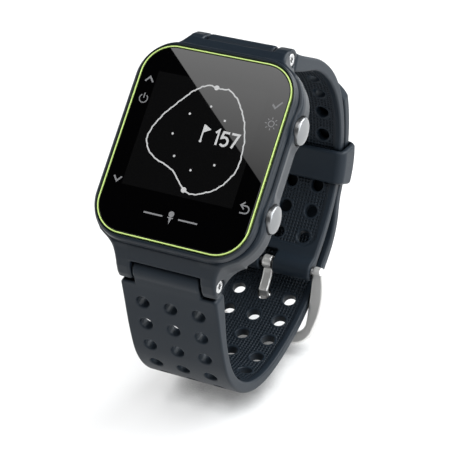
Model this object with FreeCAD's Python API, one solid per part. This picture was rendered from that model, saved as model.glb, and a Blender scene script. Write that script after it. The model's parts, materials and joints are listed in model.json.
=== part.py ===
import FreeCAD, Part
import math
import os

# Golf GPS watch, closed on its buckle and standing on its strap.
# Everything is drawn in the case frame: X towards 3 o'clock, Y towards
# 12 o'clock, Z out of the dial, origin at the middle of the dial surface.
# At the end each piece is tilted about X and dropped onto the floor plane.
# Outlines are (half width, half height, corner radius). Cutters run past
# the faces they open. Millimetres; angles in radians unless marked.

Vec = FreeCAD.Vector
X_AXIS, Y_AXIS, Z_AXIS = Vec(1, 0, 0), Vec(0, 1, 0), Vec(0, 0, 1)
ORIGIN = Vec(0, 0, 0)

# placement of the case frame in the standing watch
TILT_DEG = 46.0
SHIFT = Vec(0.0, -23.032, 67.597)

# signs of X and Y for the four corners and four buttons
CORNERS = [(1, 1), (1, -1), (-1, 1), (-1, -1)]

NUDGE = 1e-9                # keeps a sampled point just inside its run


# ---------------------------------------------------------------------------
# helpers
# ---------------------------------------------------------------------------
def arc(start, middle, end):
    return Part.Arc(start, middle, end).toShape()


def rounded_wire(x0, x1, y0, y1, radius, point):
    """Closed rounded rectangle; point(x, y) places it in space."""
    inset = radius * (1 - math.sqrt(0.5))
    xa, xb, ya, yb = x0 + radius, x1 - radius, y0 + radius, y1 - radius
    return Part.Wire([
        Part.makeLine(point(xa, y0), point(xb, y0)),
        arc(point(xb, y0), point(x1 - inset, y0 + inset), point(x1, ya)),
        Part.makeLine(point(x1, ya), point(x1, yb)),
        arc(point(x1, yb), point(x1 - inset, y1 - inset), point(xb, y1)),
        Part.makeLine(point(xb, y1), point(xa, y1)),
        arc(point(xa, y1), point(x0 + inset, y1 - inset), point(x0, yb)),
        Part.makeLine(point(x0, yb), point(x0, ya)),
        arc(point(x0, ya), point(x0 + inset, y0 + inset), point(xa, y0)),
    ])


def outline_wire(outline, z, centre_y=0.0):
    half_w, half_h, radius = outline
    return rounded_wire(-half_w, half_w, centre_y - half_h, centre_y + half_h, radius,
                        lambda x, y: Vec(x, y, z))


def grow(outline, step):
    """Outline offset outwards by step (inwards when negative)."""
    return tuple(size + step for size in outline)


def slab(outline, z0, z1, centre_y=0.0):
    return Part.Face(outline_wire(outline, z0, centre_y)).extrude(Vec(0, 0, z1 - z0))


def loft(sections):
    """Ruled solid through (z, half width, half height, corner radius) stations."""
    return Part.makeLoft([outline_wire(section[1:], section[0]) for section in sections],
                         True, True)


def around(centre, half):
    return (centre - half, centre + half)


def box(x_range, y_range, z_range):
    """Box between the ends of three ranges, given in either order."""
    (x0, x1), (y0, y1), (z0, z1) = sorted(x_range), sorted(y_range), sorted(z_range)
    return Part.makeBox(x1 - x0, y1 - y0, z1 - z0, Vec(x0, y0, z0))


def cyl_x(radius, x0, x1, y, z):
    return Part.makeCylinder(radius, abs(x1 - x0), Vec(min(x0, x1), y, z), X_AXIS)


def cyl_z(radius, x, y, z0, z1):
    return Part.makeCylinder(radius, abs(z1 - z0), Vec(x, y, min(z0, z1)), Z_AXIS)


def poly_x(points, x0, x1):
    """Polygon of (y, z) points extruded along X."""
    wire = Part.makePolygon([Vec(x0, y, z) for y, z in points + points[:1]])
    return Part.Face(wire).extrude(Vec(x1 - x0, 0, 0))


def mirror_x(shape):
    return shape.mirror(ORIGIN, X_AXIS)


def mirror_y(shape):
    return shape.mirror(ORIGIN, Y_AXIS)


def main_solid(shape):
    """The largest solid in a boolean result, with split faces merged."""
    return max(shape.removeSplitter().Solids, key=lambda solid: solid.Volume)


def fillet(solid, radius, pick):
    """Round the picked edges, or hand the solid back as it was."""
    edges = [edge for edge in solid.Edges if pick(edge)]
    if not edges:
        return solid
    # guards against the kernel refusing the fillet
    try:
        rounded = solid.makeFillet(radius, edges)
        if rounded.isValid() and len(rounded.Solids) == 1:
            return rounded.Solids[0]
    except Exception:
        pass
    return solid


def at_height(z):
    return lambda edge: abs(edge.CenterOfMass.z - z) < 1e-6


class Path:
    """Plane curve in YZ made of straight and circular (length, curvature) runs."""

    def __init__(self, start, angle, runs):
        self.runs = []      # (start distance, curvature, start point, start heading)
        point, distance = start, 0.0
        for length, curvature in runs:
            self.runs.append((distance, curvature, point, angle))
            point, angle = self._step(point, angle, curvature, length)
            distance += length
        self.length = distance

    @staticmethod
    def _step(point, angle, curvature, distance):
        y, z = point
        if abs(curvature) < 1e-9:
            return (y + distance * math.cos(angle), z + distance * math.sin(angle)), angle
        turned = angle + curvature * distance
        return (y + (math.sin(turned) - math.sin(angle)) / curvature,
                z - (math.cos(turned) - math.cos(angle)) / curvature), turned

    def _run_at(self, distance):
        found = self.runs[0]
        for run in self.runs:
            if distance >= run[0] - 1e-9:
                found = run
        return found

    def at(self, distance, offset=0.0):
        """Point at a distance, moved to the left of travel by offset, and the heading."""
        start, curvature, point, angle = self._run_at(distance)
        (y, z), heading = self._step(point, angle, curvature, distance - start)
        return (y - offset * math.sin(heading), z + offset * math.cos(heading)), heading

    def frame(self, distance, offset=0.0):
        """Point, direction of travel and left normal at X = 0."""
        (y, z), heading = self.at(distance, offset)
        cos, sin = math.cos(heading), math.sin(heading)
        return Vec(0, y, z), Vec(0, cos, sin), Vec(0, -sin, cos)

    def edges(self, first, last, offset, x):
        """Edges of the offset curve from first to last in the plane X = x."""
        joints = [run[0] for run in self.runs if first + 1e-6 < run[0] < last - 1e-6]
        cuts = [first] + joints + [last]
        edges = []
        for begin, end in zip(cuts, cuts[1:]):
            middle = 0.5 * (begin + end)
            points = [Vec(x, *self.at(distance, offset)[0])
                      for distance in (begin + NUDGE, middle, end - NUDGE)]
            if abs(self._run_at(middle)[1]) < 1e-9:
                edges.append(Part.makeLine(points[0], points[2]))
            else:
                edges.append(arc(*points))
        return edges


# ---------------------------------------------------------------------------
# lens, accent ring, bezel and adhesive
# ---------------------------------------------------------------------------
LENS = (16.78, 20.50, 6.43)
LENS_T = 1.10
LENS_FILLET = 0.18
RING_IN = (16.83, 20.555, 6.485)
RING_OUT = grow(RING_IN, 0.45)
RING_T = 0.90
RING_PROUD = 0.03
BEZEL_IN = grow(RING_OUT, 0.05)
BEZEL_LEDGE = (15.60, 19.30, 5.20)
BEZEL_LEDGE_Z = -1.25
BEZEL_BOTTOM = -2.25
# z, half width, half height, corner radius
BEZEL_SECTIONS = [
    (BEZEL_BOTTOM, 18.10, 22.05, 8.75),
    (-1.90, 18.38, 22.28, 8.95),
    (-0.35, 18.15, 22.05, 8.75),
    (-0.02, 17.85, 21.75, 8.45),
]
ADHESIVE_OUT = (16.70, 20.40, 6.35)
ADHESIVE_IN = grow(BEZEL_LEDGE, 0.15)


def lens():
    return fillet(slab(LENS, -LENS_T, 0.0), LENS_FILLET, at_height(0.0))


def accent_ring():
    return main_solid(slab(RING_OUT, -RING_T, RING_PROUD).cut(slab(RING_IN, -RING_T - 1, 1)))


def bezel():
    body = loft(BEZEL_SECTIONS)
    body = body.cut(slab(BEZEL_IN, BEZEL_LEDGE_Z, 1.0))
    return main_solid(body.cut(slab(BEZEL_LEDGE, BEZEL_BOTTOM - 1, 1.0)))


def lens_adhesive():
    return main_solid(slab(ADHESIVE_OUT, BEZEL_LEDGE_Z, -LENS_T).cut(slab(ADHESIVE_IN, -3, 0)))


# ---------------------------------------------------------------------------
# mid case with lugs
# ---------------------------------------------------------------------------
CASE_BASE = -9.20
# z, half width, half height, corner radius
CASE_SECTIONS = [
    (-2.30, 18.25, 22.15, 8.80),
    (-2.90, 18.75, 22.30, 9.00),
    (-5.20, 19.20, 22.40, 9.20),
    (-8.00, 18.90, 22.20, 9.00),
    (CASE_BASE, 17.80, 21.20, 8.40),
]
CAVITY = (15.40, 18.90, 8.00)
DISPLAY_ROOM = (15.10, 18.40, 2.50)
DISPLAY_ROOM_Z = -3.40

LUG_Y = 25.20
LUG_Z = -8.40
LUG_IN_X = 8.00
LUG_OUT_X = 11.50
LUG_BORE_R = 0.90
LUG_HEAD_R = 1.45
LUG_HEAD_T = 1.00
LUG_HEAD_X = LUG_OUT_X - LUG_HEAD_T
# side view of a lug prong (y, z)
LUG_PROFILE = [
    (17.0, -2.40), (22.4, -2.45), (25.05, -4.60), (26.3, -5.9), (27.45, -7.7),
    (27.9, -8.9), (27.75, -9.9), (27.0, -10.6), (23.5, -10.7), (17.0, -9.1),
]
# plan of the curved web beside a prong (x, y): three points of its arc, then corners
WEB_X = LUG_OUT_X - 0.01
WEB_PLAN = [(WEB_X, 25.9), (12.55, 22.6), (16.2, 19.9), (14.5, 17.2), (WEB_X, 17.2)]
WEB_BOTTOM = -11
WEB_HEIGHT = 9
APRON_Y = LUG_PROFILE[2][0]
APRON_UNDER_Z = -5.60
APRON_PROFILE = LUG_PROFILE[:3] + [(APRON_Y, APRON_UNDER_Z), (19.5, APRON_UNDER_Z), (19.5, -2.6)]
CHANNEL_Y = 22.25           # where the strap channel starts

BUTTON_Y = 9.70
BUTTON_Z = -5.40
POCKET_R = 3.15
POCKET_X = 17.00
FLARE_R = 5.2
FLARE_X = 17.9
FLARE_LEN = 3.2
STEM_BORE_R = 0.95
ORING_SEAT_R = 1.62
ORING_SEAT_X = 16.25

GROOVE_IN = grow(CAVITY, 0.10)
GROOVE_OUT = grow(GROOVE_IN, 0.62)
GROOVE_TOP = -8.55
BACK_SCREW = (14.30, 17.80)
BACK_SCREW_CLEAR_R = 0.62
BACK_HEAD_CLEAR_R = 1.25
BACK_HEAD_TOP = -10.0


def lug_cyl(radius, x0, x1, side_y):
    return cyl_x(radius, x0, x1, side_y * LUG_Y, LUG_Z)


def lug_quarter():
    """One prong and the web that blends it into the case side."""
    prong = poly_x(LUG_PROFILE, LUG_IN_X, LUG_OUT_X)
    plan = [Vec(x, y, WEB_BOTTOM) for x, y in WEB_PLAN]
    web_face = Part.Face(Part.Wire([
        arc(*plan[:3]),
        Part.makeLine(plan[2], plan[3]),
        Part.makeLine(plan[3], plan[4]),
        Part.makeLine(plan[4], plan[0])]))
    web = web_face.extrude(Vec(0, 0, WEB_HEIGHT)).common(poly_x(LUG_PROFILE, 11.0, 18.0))
    return prong.fuse(web)


def cut_button_seats(case):
    """Flared recess, pocket, stem bore and O-ring seat for each button."""
    for sx, sy in CORNERS:
        y = sy * BUTTON_Y
        case = case.cut(Part.makeCone(POCKET_R, FLARE_R, FLARE_LEN,
                                      Vec(sx * FLARE_X, y, BUTTON_Z), Vec(sx, 0, 0)))
        case = case.cut(cyl_x(POCKET_R, sx * POCKET_X, sx * 22.0, y, BUTTON_Z))
        case = case.cut(cyl_x(STEM_BORE_R, sx * 14.0, sx * 18.0, y, BUTTON_Z))
        case = case.cut(cyl_x(ORING_SEAT_R, sx * ORING_SEAT_X, sx * 17.5, y, BUTTON_Z))
    return case


def case_shell():
    case = loft(CASE_SECTIONS)
    quarter = lug_quarter()
    for copy in (quarter, mirror_x(quarter), mirror_y(quarter), mirror_x(mirror_y(quarter))):
        case = case.fuse(copy)
    case = case.cut(slab(CAVITY, -12, 0))
    # sloping apron between the prongs, over the strap channel
    apron = poly_x(APRON_PROFILE, -LUG_IN_X - 0.01, LUG_IN_X + 0.01)
    case = case.fuse(apron).fuse(mirror_y(apron))
    for sy in (1, -1):
        case = case.cut(box((-LUG_IN_X, LUG_IN_X), (sy * CHANNEL_Y, sy * 29),
                            (-12, APRON_UNDER_Z)))
    case = cut_button_seats(case)
    # lug bores with counterbores for the screw heads
    for sy in (1, -1):
        case = case.cut(lug_cyl(LUG_BORE_R, -13, 13, sy))
        for sx in (1, -1):
            case = case.cut(lug_cyl(LUG_HEAD_R + 0.08, sx * (LUG_HEAD_X - 0.05), sx * 14, sy))
    # seal groove, blind screw holes and head clearances in the base
    case = case.cut(slab(GROOVE_OUT, GROOVE_TOP, -9.3).cut(slab(GROOVE_IN, -8.5, -9.4)))
    for sx, sy in CORNERS:
        x, y = sx * BACK_SCREW[0], sy * BACK_SCREW[1]
        case = case.cut(cyl_z(0.56, x, y, -9.3, -6.2))
        case = case.cut(cyl_z(BACK_SCREW_CLEAR_R, x, y, -10.1, -9.2))
        case = case.cut(cyl_z(BACK_HEAD_CLEAR_R, x, y, -12.0, BACK_HEAD_TOP))
    # room for the square corners of the display at the top of the cavity
    return main_solid(case.cut(slab(DISPLAY_ROOM, DISPLAY_ROOM_Z, 0)))


# ---------------------------------------------------------------------------
# back cover, seal, screws, charging contacts
# ---------------------------------------------------------------------------
COVER = grow(CASE_SECTIONS[-1][1:], -0.05)
COVER_EDGE_Z = -10.15
# z, half width, half height, corner radius
COVER_SECTIONS = [
    (-11.40, 14.40, 17.20, 6.60),
    (-10.90, 16.40, 19.60, 7.60),
    (COVER_EDGE_Z, *COVER),
]
COVER_END_Y = 20.6          # flat ends towards 12 and 6 o'clock
COVER_RECESS_Z = -9.6
SEAL_CLEARANCE = 0.10
SEAL_Z = (-9.20, -8.60)
BACK_HEAD_BOTTOM = -10.65
CONTACT_Y = -6.0
CONTACT_X = [-3.75 + 2.5 * i for i in range(4)]
CONTACT_TIP_Z = -11.25
CONTACT_FLANGE_Z = (-9.60, -9.35)
CONTACT_RECESS = (5.4, 1.7, 1.6)


def back_cover(case):
    cover = loft([(COVER_EDGE_Z, *COVER), (CASE_BASE - 0.02, *COVER)])
    cover = cover.fuse(loft(COVER_SECTIONS))
    for sy in (1, -1):
        cover = cover.cut(box((-20, 20), (sy * COVER_END_Y, sy * 24.0), (-13, -8)))
    cover = cover.cut(slab(grow(CAVITY, -0.4), COVER_RECESS_Z, -9.0))
    for sx, sy in CORNERS:
        x, y = sx * BACK_SCREW[0], sy * BACK_SCREW[1]
        cover = cover.cut(cyl_z(BACK_SCREW_CLEAR_R, x, y, -12, -8))
        cover = cover.cut(cyl_z(BACK_HEAD_CLEAR_R, x, y, -12, BACK_HEAD_TOP))
    for x in CONTACT_X:
        cover = cover.cut(cyl_z(0.86, x, CONTACT_Y, -12, -8))
    cover = cover.cut(slab(CONTACT_RECESS, -11.5, -11.2, CONTACT_Y))
    # keeps clear of the prong roots
    return main_solid(cover.cut(case))


def back_seal():
    ring = slab(grow(GROOVE_OUT, -SEAL_CLEARANCE), *SEAL_Z)
    return main_solid(ring.cut(slab(grow(GROOVE_IN, SEAL_CLEARANCE), -9.4, -8.4)))


def back_screws():
    """Screws with a cross slot in the head."""
    slot_len, slot_w, slot_z = 0.75, 0.13, (-11, -10.35)
    screws = []
    for sx, sy in CORNERS:
        x, y = sx * BACK_SCREW[0], sy * BACK_SCREW[1]
        screw = cyl_z(1.15, x, y, BACK_HEAD_BOTTOM, BACK_HEAD_TOP)
        screw = screw.fuse(cyl_z(0.52, x, y, BACK_HEAD_TOP, -6.6))
        screw = screw.cut(box(around(x, slot_len), around(y, slot_w), slot_z))
        screw = screw.cut(box(around(x, slot_w), around(y, slot_len), slot_z))
        screws.append(main_solid(screw))
    return Part.makeCompound(screws)


def charging_contacts():
    pins = []
    for x in CONTACT_X:
        pin = cyl_z(0.82, x, CONTACT_Y, CONTACT_TIP_Z, CONTACT_FLANGE_Z[0])
        pin = pin.fuse(cyl_z(1.10, x, CONTACT_Y, *CONTACT_FLANGE_Z))
        pins.append(fillet(main_solid(pin), 0.2, at_height(CONTACT_TIP_Z)))
    return Part.makeCompound(pins)


# ---------------------------------------------------------------------------
# display stack
# ---------------------------------------------------------------------------
DISPLAY_Y = 1.40
PANEL = (14.00, 15.30, 0.6)
PANEL_BOTTOM = -2.55
TRAY = (14.60, 15.90, 0.9)
TRAY_Z = (-3.05, -1.60)
TRAY_RECESS = (14.03, 15.33, 0.62)
TRAY_RECESS_Z = -2.58
TRAY_WINDOW = (9.0, 10.0, 1.0)
FLEX_HALF_W = 4.2
# side view of the folded flex (y, z)
FLEX_PROFILE = [
    (-12.0, -2.62), (-14.95, -2.62), (-14.95, -4.20), (-12.2, -4.20),
    (-12.2, -4.08), (-14.83, -4.08), (-14.83, -2.74), (-12.0, -2.74),
]


def display_panel():
    return slab(PANEL, PANEL_BOTTOM, -LENS_T, DISPLAY_Y)


def display_tray():
    tray = slab(TRAY, *TRAY_Z, DISPLAY_Y)
    tray = tray.cut(slab(TRAY_RECESS, TRAY_RECESS_Z, 0, DISPLAY_Y))
    tray = tray.cut(slab(TRAY_WINDOW, -4, 0, DISPLAY_Y))
    # slot for the flex
    return main_solid(tray.cut(box((-5.0, 5.0), (-15.0, -11.6), (-4, 0))))


def display_flex():
    return poly_x(FLEX_PROFILE, -FLEX_HALF_W, FLEX_HALF_W)


# ---------------------------------------------------------------------------
# chassis, board, switches, battery, antenna, motor
# ---------------------------------------------------------------------------
CHASSIS = grow(CAVITY, -0.20)
CHASSIS_WALL = 0.90
CHASSIS_TOP = -3.15
DECK_BOTTOM = -3.75
CHASSIS_BOTTOM = -8.60
CHASSIS_WINDOW = (9.5, 10.5, 1.5)
BOARD = (14.00, 17.40, 6.60)
BOARD_BOTTOM = -5.10
BOARD_TOP = -4.30
PART_TOP = BOARD_BOTTOM + 0.05      # packages overlap the board a little
BOARD_SCREW = (10.6, 14.9)
# packages on the underside: centre x, y, half size x, y, depth
PACKAGES = [
    (-5.5, 6.0, 3.6, 3.6, 0.9), (3.2, 5.0, 2.6, 3.2, 0.9), (-3.0, -4.0, 2.4, 2.4, 0.8),
    (5.5, -4.5, 2.0, 2.0, 0.7), (0.5, 11.0, 1.6, 1.2, 0.6), (-9.2, -1.5, 1.1, 1.6, 0.6),
    (9.6, 1.0, 1.0, 1.4, 0.6), (-7.0, -9.6, 1.4, 1.0, 0.6), (7.4, -9.8, 1.2, 1.0, 0.6),
]
CHIP_SIZE = 0.8             # row of six small square chips
CHIP_PITCH = 1.5
CHIP_X = -11.4
CHIP_Y = 4.0
CHIP_BOTTOM = -5.5
BATTERY = (9.6, 12.6, 1.2)
BATTERY_Y = 0.6
BATTERY_BOTTOM = -9.05
BATTERY_TOP = -6.25
MOTOR_Y = -15.2
MOTOR_Z = -7.05


def inner_chassis():
    chassis = slab(CHASSIS, DECK_BOTTOM, CHASSIS_TOP)
    wall = slab(CHASSIS, CHASSIS_BOTTOM, CHASSIS_TOP).cut(
        slab(grow(CHASSIS, -CHASSIS_WALL), -9, -3))
    chassis = chassis.fuse(wall)
    chassis = chassis.cut(slab(CHASSIS_WINDOW, -4, -3, DISPLAY_Y))
    chassis = chassis.cut(box((-4.8, 4.8), (-15.5, -14.3), (-4, -3)))
    # wall gaps at the buttons
    for sx, sy in CORNERS:
        chassis = chassis.cut(box((sx * 12, sx * 16), around(sy * BUTTON_Y, 2.4), (-9, -3.76)))
    # screw bosses, then their pilot holes
    for sx, sy in CORNERS:
        chassis = chassis.fuse(cyl_z(1.5, sx * BOARD_SCREW[0], sy * BOARD_SCREW[1], -4.28, -3.2))
    for sx, sy in CORNERS:
        chassis = chassis.cut(cyl_z(0.42, sx * BOARD_SCREW[0], sy * BOARD_SCREW[1], -5, -3.3))
    return main_solid(chassis)


def main_board():
    board = slab(BOARD, BOARD_BOTTOM, BOARD_TOP)
    for sx, sy in CORNERS:
        board = board.cut(cyl_z(0.55, sx * BOARD_SCREW[0], sy * BOARD_SCREW[1], -6, -4))
    # edge notches beside the buttons
    for sx, sy in CORNERS:
        board = board.cut(box((sx * 13.15, sx * 15.0), around(sy * BUTTON_Y, 1.3), (-6, -4)))
    for x, y, half_x, half_y, depth in PACKAGES:
        board = board.fuse(box(around(x, half_x), around(y, half_y),
                               (BOARD_BOTTOM - depth, PART_TOP)))
    for i in range(6):
        y = CHIP_Y - CHIP_PITCH * i
        board = board.fuse(box((CHIP_X, CHIP_X + CHIP_SIZE), (y, y + CHIP_SIZE),
                               (CHIP_BOTTOM, PART_TOP)))
    return main_solid(board)


def board_screws():
    """Screws with a single slot in the head."""
    screws = []
    for sx, sy in CORNERS:
        x, y = sx * BOARD_SCREW[0], sy * BOARD_SCREW[1]
        screw = cyl_z(0.95, x, y, -5.60, BOARD_BOTTOM)
        screw = screw.fuse(cyl_z(0.40, x, y, BOARD_BOTTOM, -3.35))
        screw = screw.cut(box(around(x, 0.6), around(y, 0.12), (-6, -5.38)))
        screws.append(main_solid(screw))
    return Part.makeCompound(screws)


def flex_connector():
    return box((-4.6, 4.6), (-13.9, -11.6), (BOARD_TOP, BOARD_TOP + 0.10))


def side_switches():
    """Switch bodies under the board, each with a plunger facing its button."""
    switches = []
    for sx, sy in CORNERS:
        y = sy * BUTTON_Y
        switch = box((sx * 10.9, sx * 12.9), around(y, 1.7), (-6.20, BOARD_BOTTOM))
        switch = switch.fuse(cyl_x(0.42, sx * 12.8, sx * 13.30, y, -5.58))
        switches.append(main_solid(switch))
    return Part.makeCompound(switches)


def battery():
    cell = slab(BATTERY, BATTERY_BOTTOM, BATTERY_TOP, BATTERY_Y)
    return fillet(cell, 0.5, at_height(BATTERY_TOP))


def battery_tabs():
    return Part.makeCompound([box((sx * 1.4, sx * 3.4), (13.2, 14.4), (-6.60, -6.45))
                              for sx in (-1, 1)])


def gps_antenna():
    block = box((-6.5, 6.5), (14.7, 17.3), (-8.4, -5.15))
    return main_solid(block.cut(box((-5.2, 5.2), (15.2, 16.8), (-9, -8.15))))


def motor_cyl(radius, x0, x1):
    return cyl_x(radius, x0, x1, MOTOR_Y, MOTOR_Z)


def motor_can():
    can = motor_cyl(1.60, -6.2, 0.2).fuse(motor_cyl(0.62, 0.2, 0.6))
    return main_solid(can.cut(motor_cyl(0.26, -2.0, 1.0)))


def motor_weight():
    """Eccentric weight: lower part of a disc with a full hub."""
    ends = (0.9, 3.9)
    weight = motor_cyl(1.55, *ends).cut(box((0, 5), around(MOTOR_Y, 2), (MOTOR_Z + 0.35, -4)))
    return main_solid(weight.fuse(motor_cyl(0.75, *ends)).cut(motor_cyl(0.23, 0.5, 4.5)))


def motor_shaft():
    return motor_cyl(0.22, -1.9, 4.1)


# ---------------------------------------------------------------------------
# push buttons, drawn on the right (+X) side and turned over for the left
# ---------------------------------------------------------------------------
BUTTON_R = 3.00
BUTTON_FACE_X = 20.05
BUTTON_LEFT_DROP = 0.80     # the two on the left sit nearly flush
BUTTON_DOME = 0.45
CAP_BACK_X = 17.76
STEM_R = 0.90
CLIP_NECK_R = 0.62
SPRING_R = 1.90
SPRING_WIRE_R = 0.15
SPRING_PITCH = 0.64
SPRING_HEIGHT = 1.60        # two and a half turns
SPRING_X = 17.19
# name, side in X, side in Y
BUTTONS = [("up", -1, 1), ("down", -1, -1), ("ok", 1, 1), ("back", 1, -1)]


def button_body(y, face_x):
    """Domed cap on a stem, with a spring recess behind and a clip groove inside."""
    cap = cyl_x(BUTTON_R, CAP_BACK_X, face_x, y, BUTTON_Z)
    dome_r = (BUTTON_R ** 2 + BUTTON_DOME ** 2) / (2 * BUTTON_DOME)
    ball = Part.makeSphere(dome_r, Vec(face_x + BUTTON_DOME - dome_r, y, BUTTON_Z))
    dome = ball.common(cyl_x(BUTTON_R, face_x - 0.01, face_x + BUTTON_DOME + 0.5, y, BUTTON_Z))
    cap = cap.fuse(dome)
    cap = cap.cut(cyl_x(2.45, 17.0, 19.0, y, BUTTON_Z).cut(
        cyl_x(1.35, 16.5, 19.5, y, BUTTON_Z)))
    body = cap.fuse(cyl_x(STEM_R, 14.05, 17.9, y, BUTTON_Z))
    body = body.cut(cyl_x(1.4, 15.10, 15.35, y, BUTTON_Z).cut(
        cyl_x(CLIP_NECK_R, 15.0, 15.5, y, BUTTON_Z)))
    # the rim of the cap is the only edge this long at the face
    return fillet(main_solid(body), 0.22,
                  lambda edge: edge.Length > 18.0 and abs(edge.CenterOfMass.x - face_x) < 0.02)


def button_clip(y):
    """Flat ring in the stem groove, open towards +Z."""
    ends = (15, 16)
    clip = cyl_x(1.70, 15.12, 15.33, y, BUTTON_Z).cut(
        cyl_x(CLIP_NECK_R + 0.02, *ends, y, BUTTON_Z))
    clip = clip.cut(box(ends, around(y, 0.55), (BUTTON_Z, BUTTON_Z + 3)))
    # short curved slots at either side
    slots = cyl_x(1.25, *ends, y, BUTTON_Z).common(
        box(ends, around(y, 2), (BUTTON_Z - 0.3, BUTTON_Z + 0.45)))
    return main_solid(clip.cut(slots.cut(cyl_x(0.95, *ends, y, BUTTON_Z))))


def coil(steps=24, sides=8):
    """Coil spring about Z, lofted through faceted wire sections."""
    sections = []
    for i in range(steps + 1):
        angle = 2 * math.pi * SPRING_HEIGHT / SPRING_PITCH * i / steps
        cos, sin = math.cos(angle), math.sin(angle)
        centre = Vec(SPRING_R * cos, SPRING_R * sin, SPRING_HEIGHT * i / steps)
        tangent = Vec(-SPRING_R * sin, SPRING_R * cos, SPRING_PITCH / 2 / math.pi)
        tangent.normalize()
        radial = Vec(cos, sin, 0)
        binormal = tangent.cross(radial)
        points = [centre + radial * (SPRING_WIRE_R * math.cos(2 * math.pi * k / sides)) +
                  binormal * (SPRING_WIRE_R * math.sin(2 * math.pi * k / sides))
                  for k in range(sides)]
        sections.append(Part.makePolygon(points + [points[0]]))
    return Part.makeLoft(sections, True, False)


def button_pieces(sx, sy):
    """Button, clip and return spring."""
    y = sy * BUTTON_Y
    body = button_body(y, BUTTON_FACE_X if sx > 0 else BUTTON_FACE_X - BUTTON_LEFT_DROP)
    clip = button_clip(y)
    spring = coil()
    spring.rotate(ORIGIN, Y_AXIS, 90)
    spring.translate(Vec(SPRING_X, y, BUTTON_Z))
    if sx < 0:
        body, clip = mirror_x(body), mirror_x(clip)
        # turned rather than mirrored, so the coil keeps its hand
        spring.translate(Vec(0, -2 * y, 0))
        spring.rotate(ORIGIN, Z_AXIS, 180)
    return body, clip, spring


def button_orings():
    return Part.makeCompound([
        Part.makeTorus(1.25, 0.32, Vec(sx * 16.60, sy * BUTTON_Y, BUTTON_Z), X_AXIS)
        for sx, sy in CORNERS])


# ---------------------------------------------------------------------------
# lug tubes and screws
# ---------------------------------------------------------------------------
LUG_TUBE_R = 1.10
LUG_TUBE_BORE_R = 0.74
LUG_TUBE_X = LUG_IN_X - 0.05
SOCKET_R = 0.72
SOCKET_DEPTH = 0.75


def lug_tube(sy):
    tube = lug_cyl(LUG_TUBE_R, -LUG_TUBE_X, LUG_TUBE_X, sy)
    return tube.cut(lug_cyl(LUG_TUBE_BORE_R, -9, 9, sy))


def lug_screw(sx, sy):
    """Stepped screw with a hexagonal socket."""
    screw = lug_cyl(LUG_HEAD_R, sx * LUG_HEAD_X, sx * (LUG_OUT_X - 0.05), sy)
    screw = screw.fuse(lug_cyl(0.85, sx * 8.1, sx * LUG_HEAD_X, sy))
    screw = screw.fuse(lug_cyl(0.70, sx * 4.6, sx * 8.2, sy))
    hexagon = Part.makePolygon([Vec(sx * (LUG_OUT_X - SOCKET_DEPTH),
                                    sy * LUG_Y + SOCKET_R * math.cos(math.pi / 3 * i),
                                    LUG_Z + SOCKET_R * math.sin(math.pi / 3 * i))
                                for i in range(7)])
    return main_solid(screw.cut(Part.Face(hexagon).extrude(Vec(sx * 2, 0, 0))))


def lug_screws():
    return Part.makeCompound([lug_screw(sx, sy) for sy in (1, -1) for sx in (1, -1)])


# ---------------------------------------------------------------------------
# strap halves
# Both centre lines run the same way round the wrist, from the 12 o'clock lug
# to the buckle and on to the 6 o'clock lug, so left of travel is outwards.
# ---------------------------------------------------------------------------
STRAP_W = 22.40
TAB_W = 15.40
STRAP_T = 2.60
LAYER_STEP = STRAP_T + 0.50     # between centre lines of the overlapping layers
HUB_R = 2.35
HUB_BORE_R = 1.15
EYE_R = 2.30
HALF_W, HALF_T, HALF_TAB = STRAP_W / 2, STRAP_T / 2, TAB_W / 2

BAR_Y = -7.50
BAR_Z = -61.20
BAR_BORE_R = 0.80

# centre lines as runs of (length, curvature per mm)
UPPER_ANGLE = -1.2436877527855061
UPPER_RUNS = [(14.96, 0.0), (10.58, -0.025496), (40.457, -0.0364863), (16.399, -0.0213786)]
LOWER_RUNS = [(5.0, 0.0720128), (10.22, -0.0712323), (35.8375, -0.0189418),
              (14.6162, -0.0402523), (16.4613, -0.0450076), (21.985, -0.0088492)]
# the tail lies outside the upper strap between these distances along it
TAIL_TIP_AT = 33.0
TAIL_LEAVES_AT = 62.0
TIP_R = 11.9
TIP_LEN = 11.3

# thickness stations: distance from the lug, outer offset, inner offset
ROOT_END = 18.0
ROOT = [(3.1, 1.65, 2.30), (6.0, 1.38, 2.32), (9.5, 1.22, 2.12), (13.5, 1.24, 1.66),
        (ROOT_END, HALF_T, HALF_T)]
TAB = [(0.0, 2.10, 2.10), (1.6, 2.00, 2.15), (3.1, 1.65, 2.30), (6.0, 1.38, 2.32)]

# hole rows, three across; distances from the lug, or along the upper strap for the tail
HOLE_R = 1.52
HOLE_X = 6.55
ROW_PITCH = 6.5
UPPER_ROWS = [74.6 - ROW_PITCH * i for i in range(9)]
TAIL_ROWS = [59.0 - ROW_PITCH * i for i in range(3)]
LOWER_ROWS = [8.43, 14.6, 21.0, 27.5, 34.2, 41.0, 47.75, 54.3, 60.85, 67.4, 73.95, 87.0, 93.5]
TANG_ROW = LOWER_ROWS[10]

upper = Path((LUG_Y, LUG_Z), UPPER_ANGLE, UPPER_RUNS)
lower = Path(*upper.at(TAIL_LEAVES_AT, LAYER_STEP), LOWER_RUNS)


def extrude_chain(edges, width):
    """Solid from the closed chain of edges, extruded along X."""
    return Part.Face(Part.Wire(Part.__sortEdges__(edges))).extrude(Vec(width, 0, 0))


def band(path, first, last, offset=0.0):
    """Full-width strap of even thickness along part of a path."""
    outer, inner = offset + HALF_T, offset - HALF_T
    edges = path.edges(first, last, outer, -HALF_W) + path.edges(first, last, inner, -HALF_W)
    for distance in (first, last - NUDGE):
        edges.append(Part.makeLine(Vec(-HALF_W, *path.at(distance, outer)[0]),
                                   Vec(-HALF_W, *path.at(distance, inner)[0])))
    return extrude_chain(edges, STRAP_W)


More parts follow.
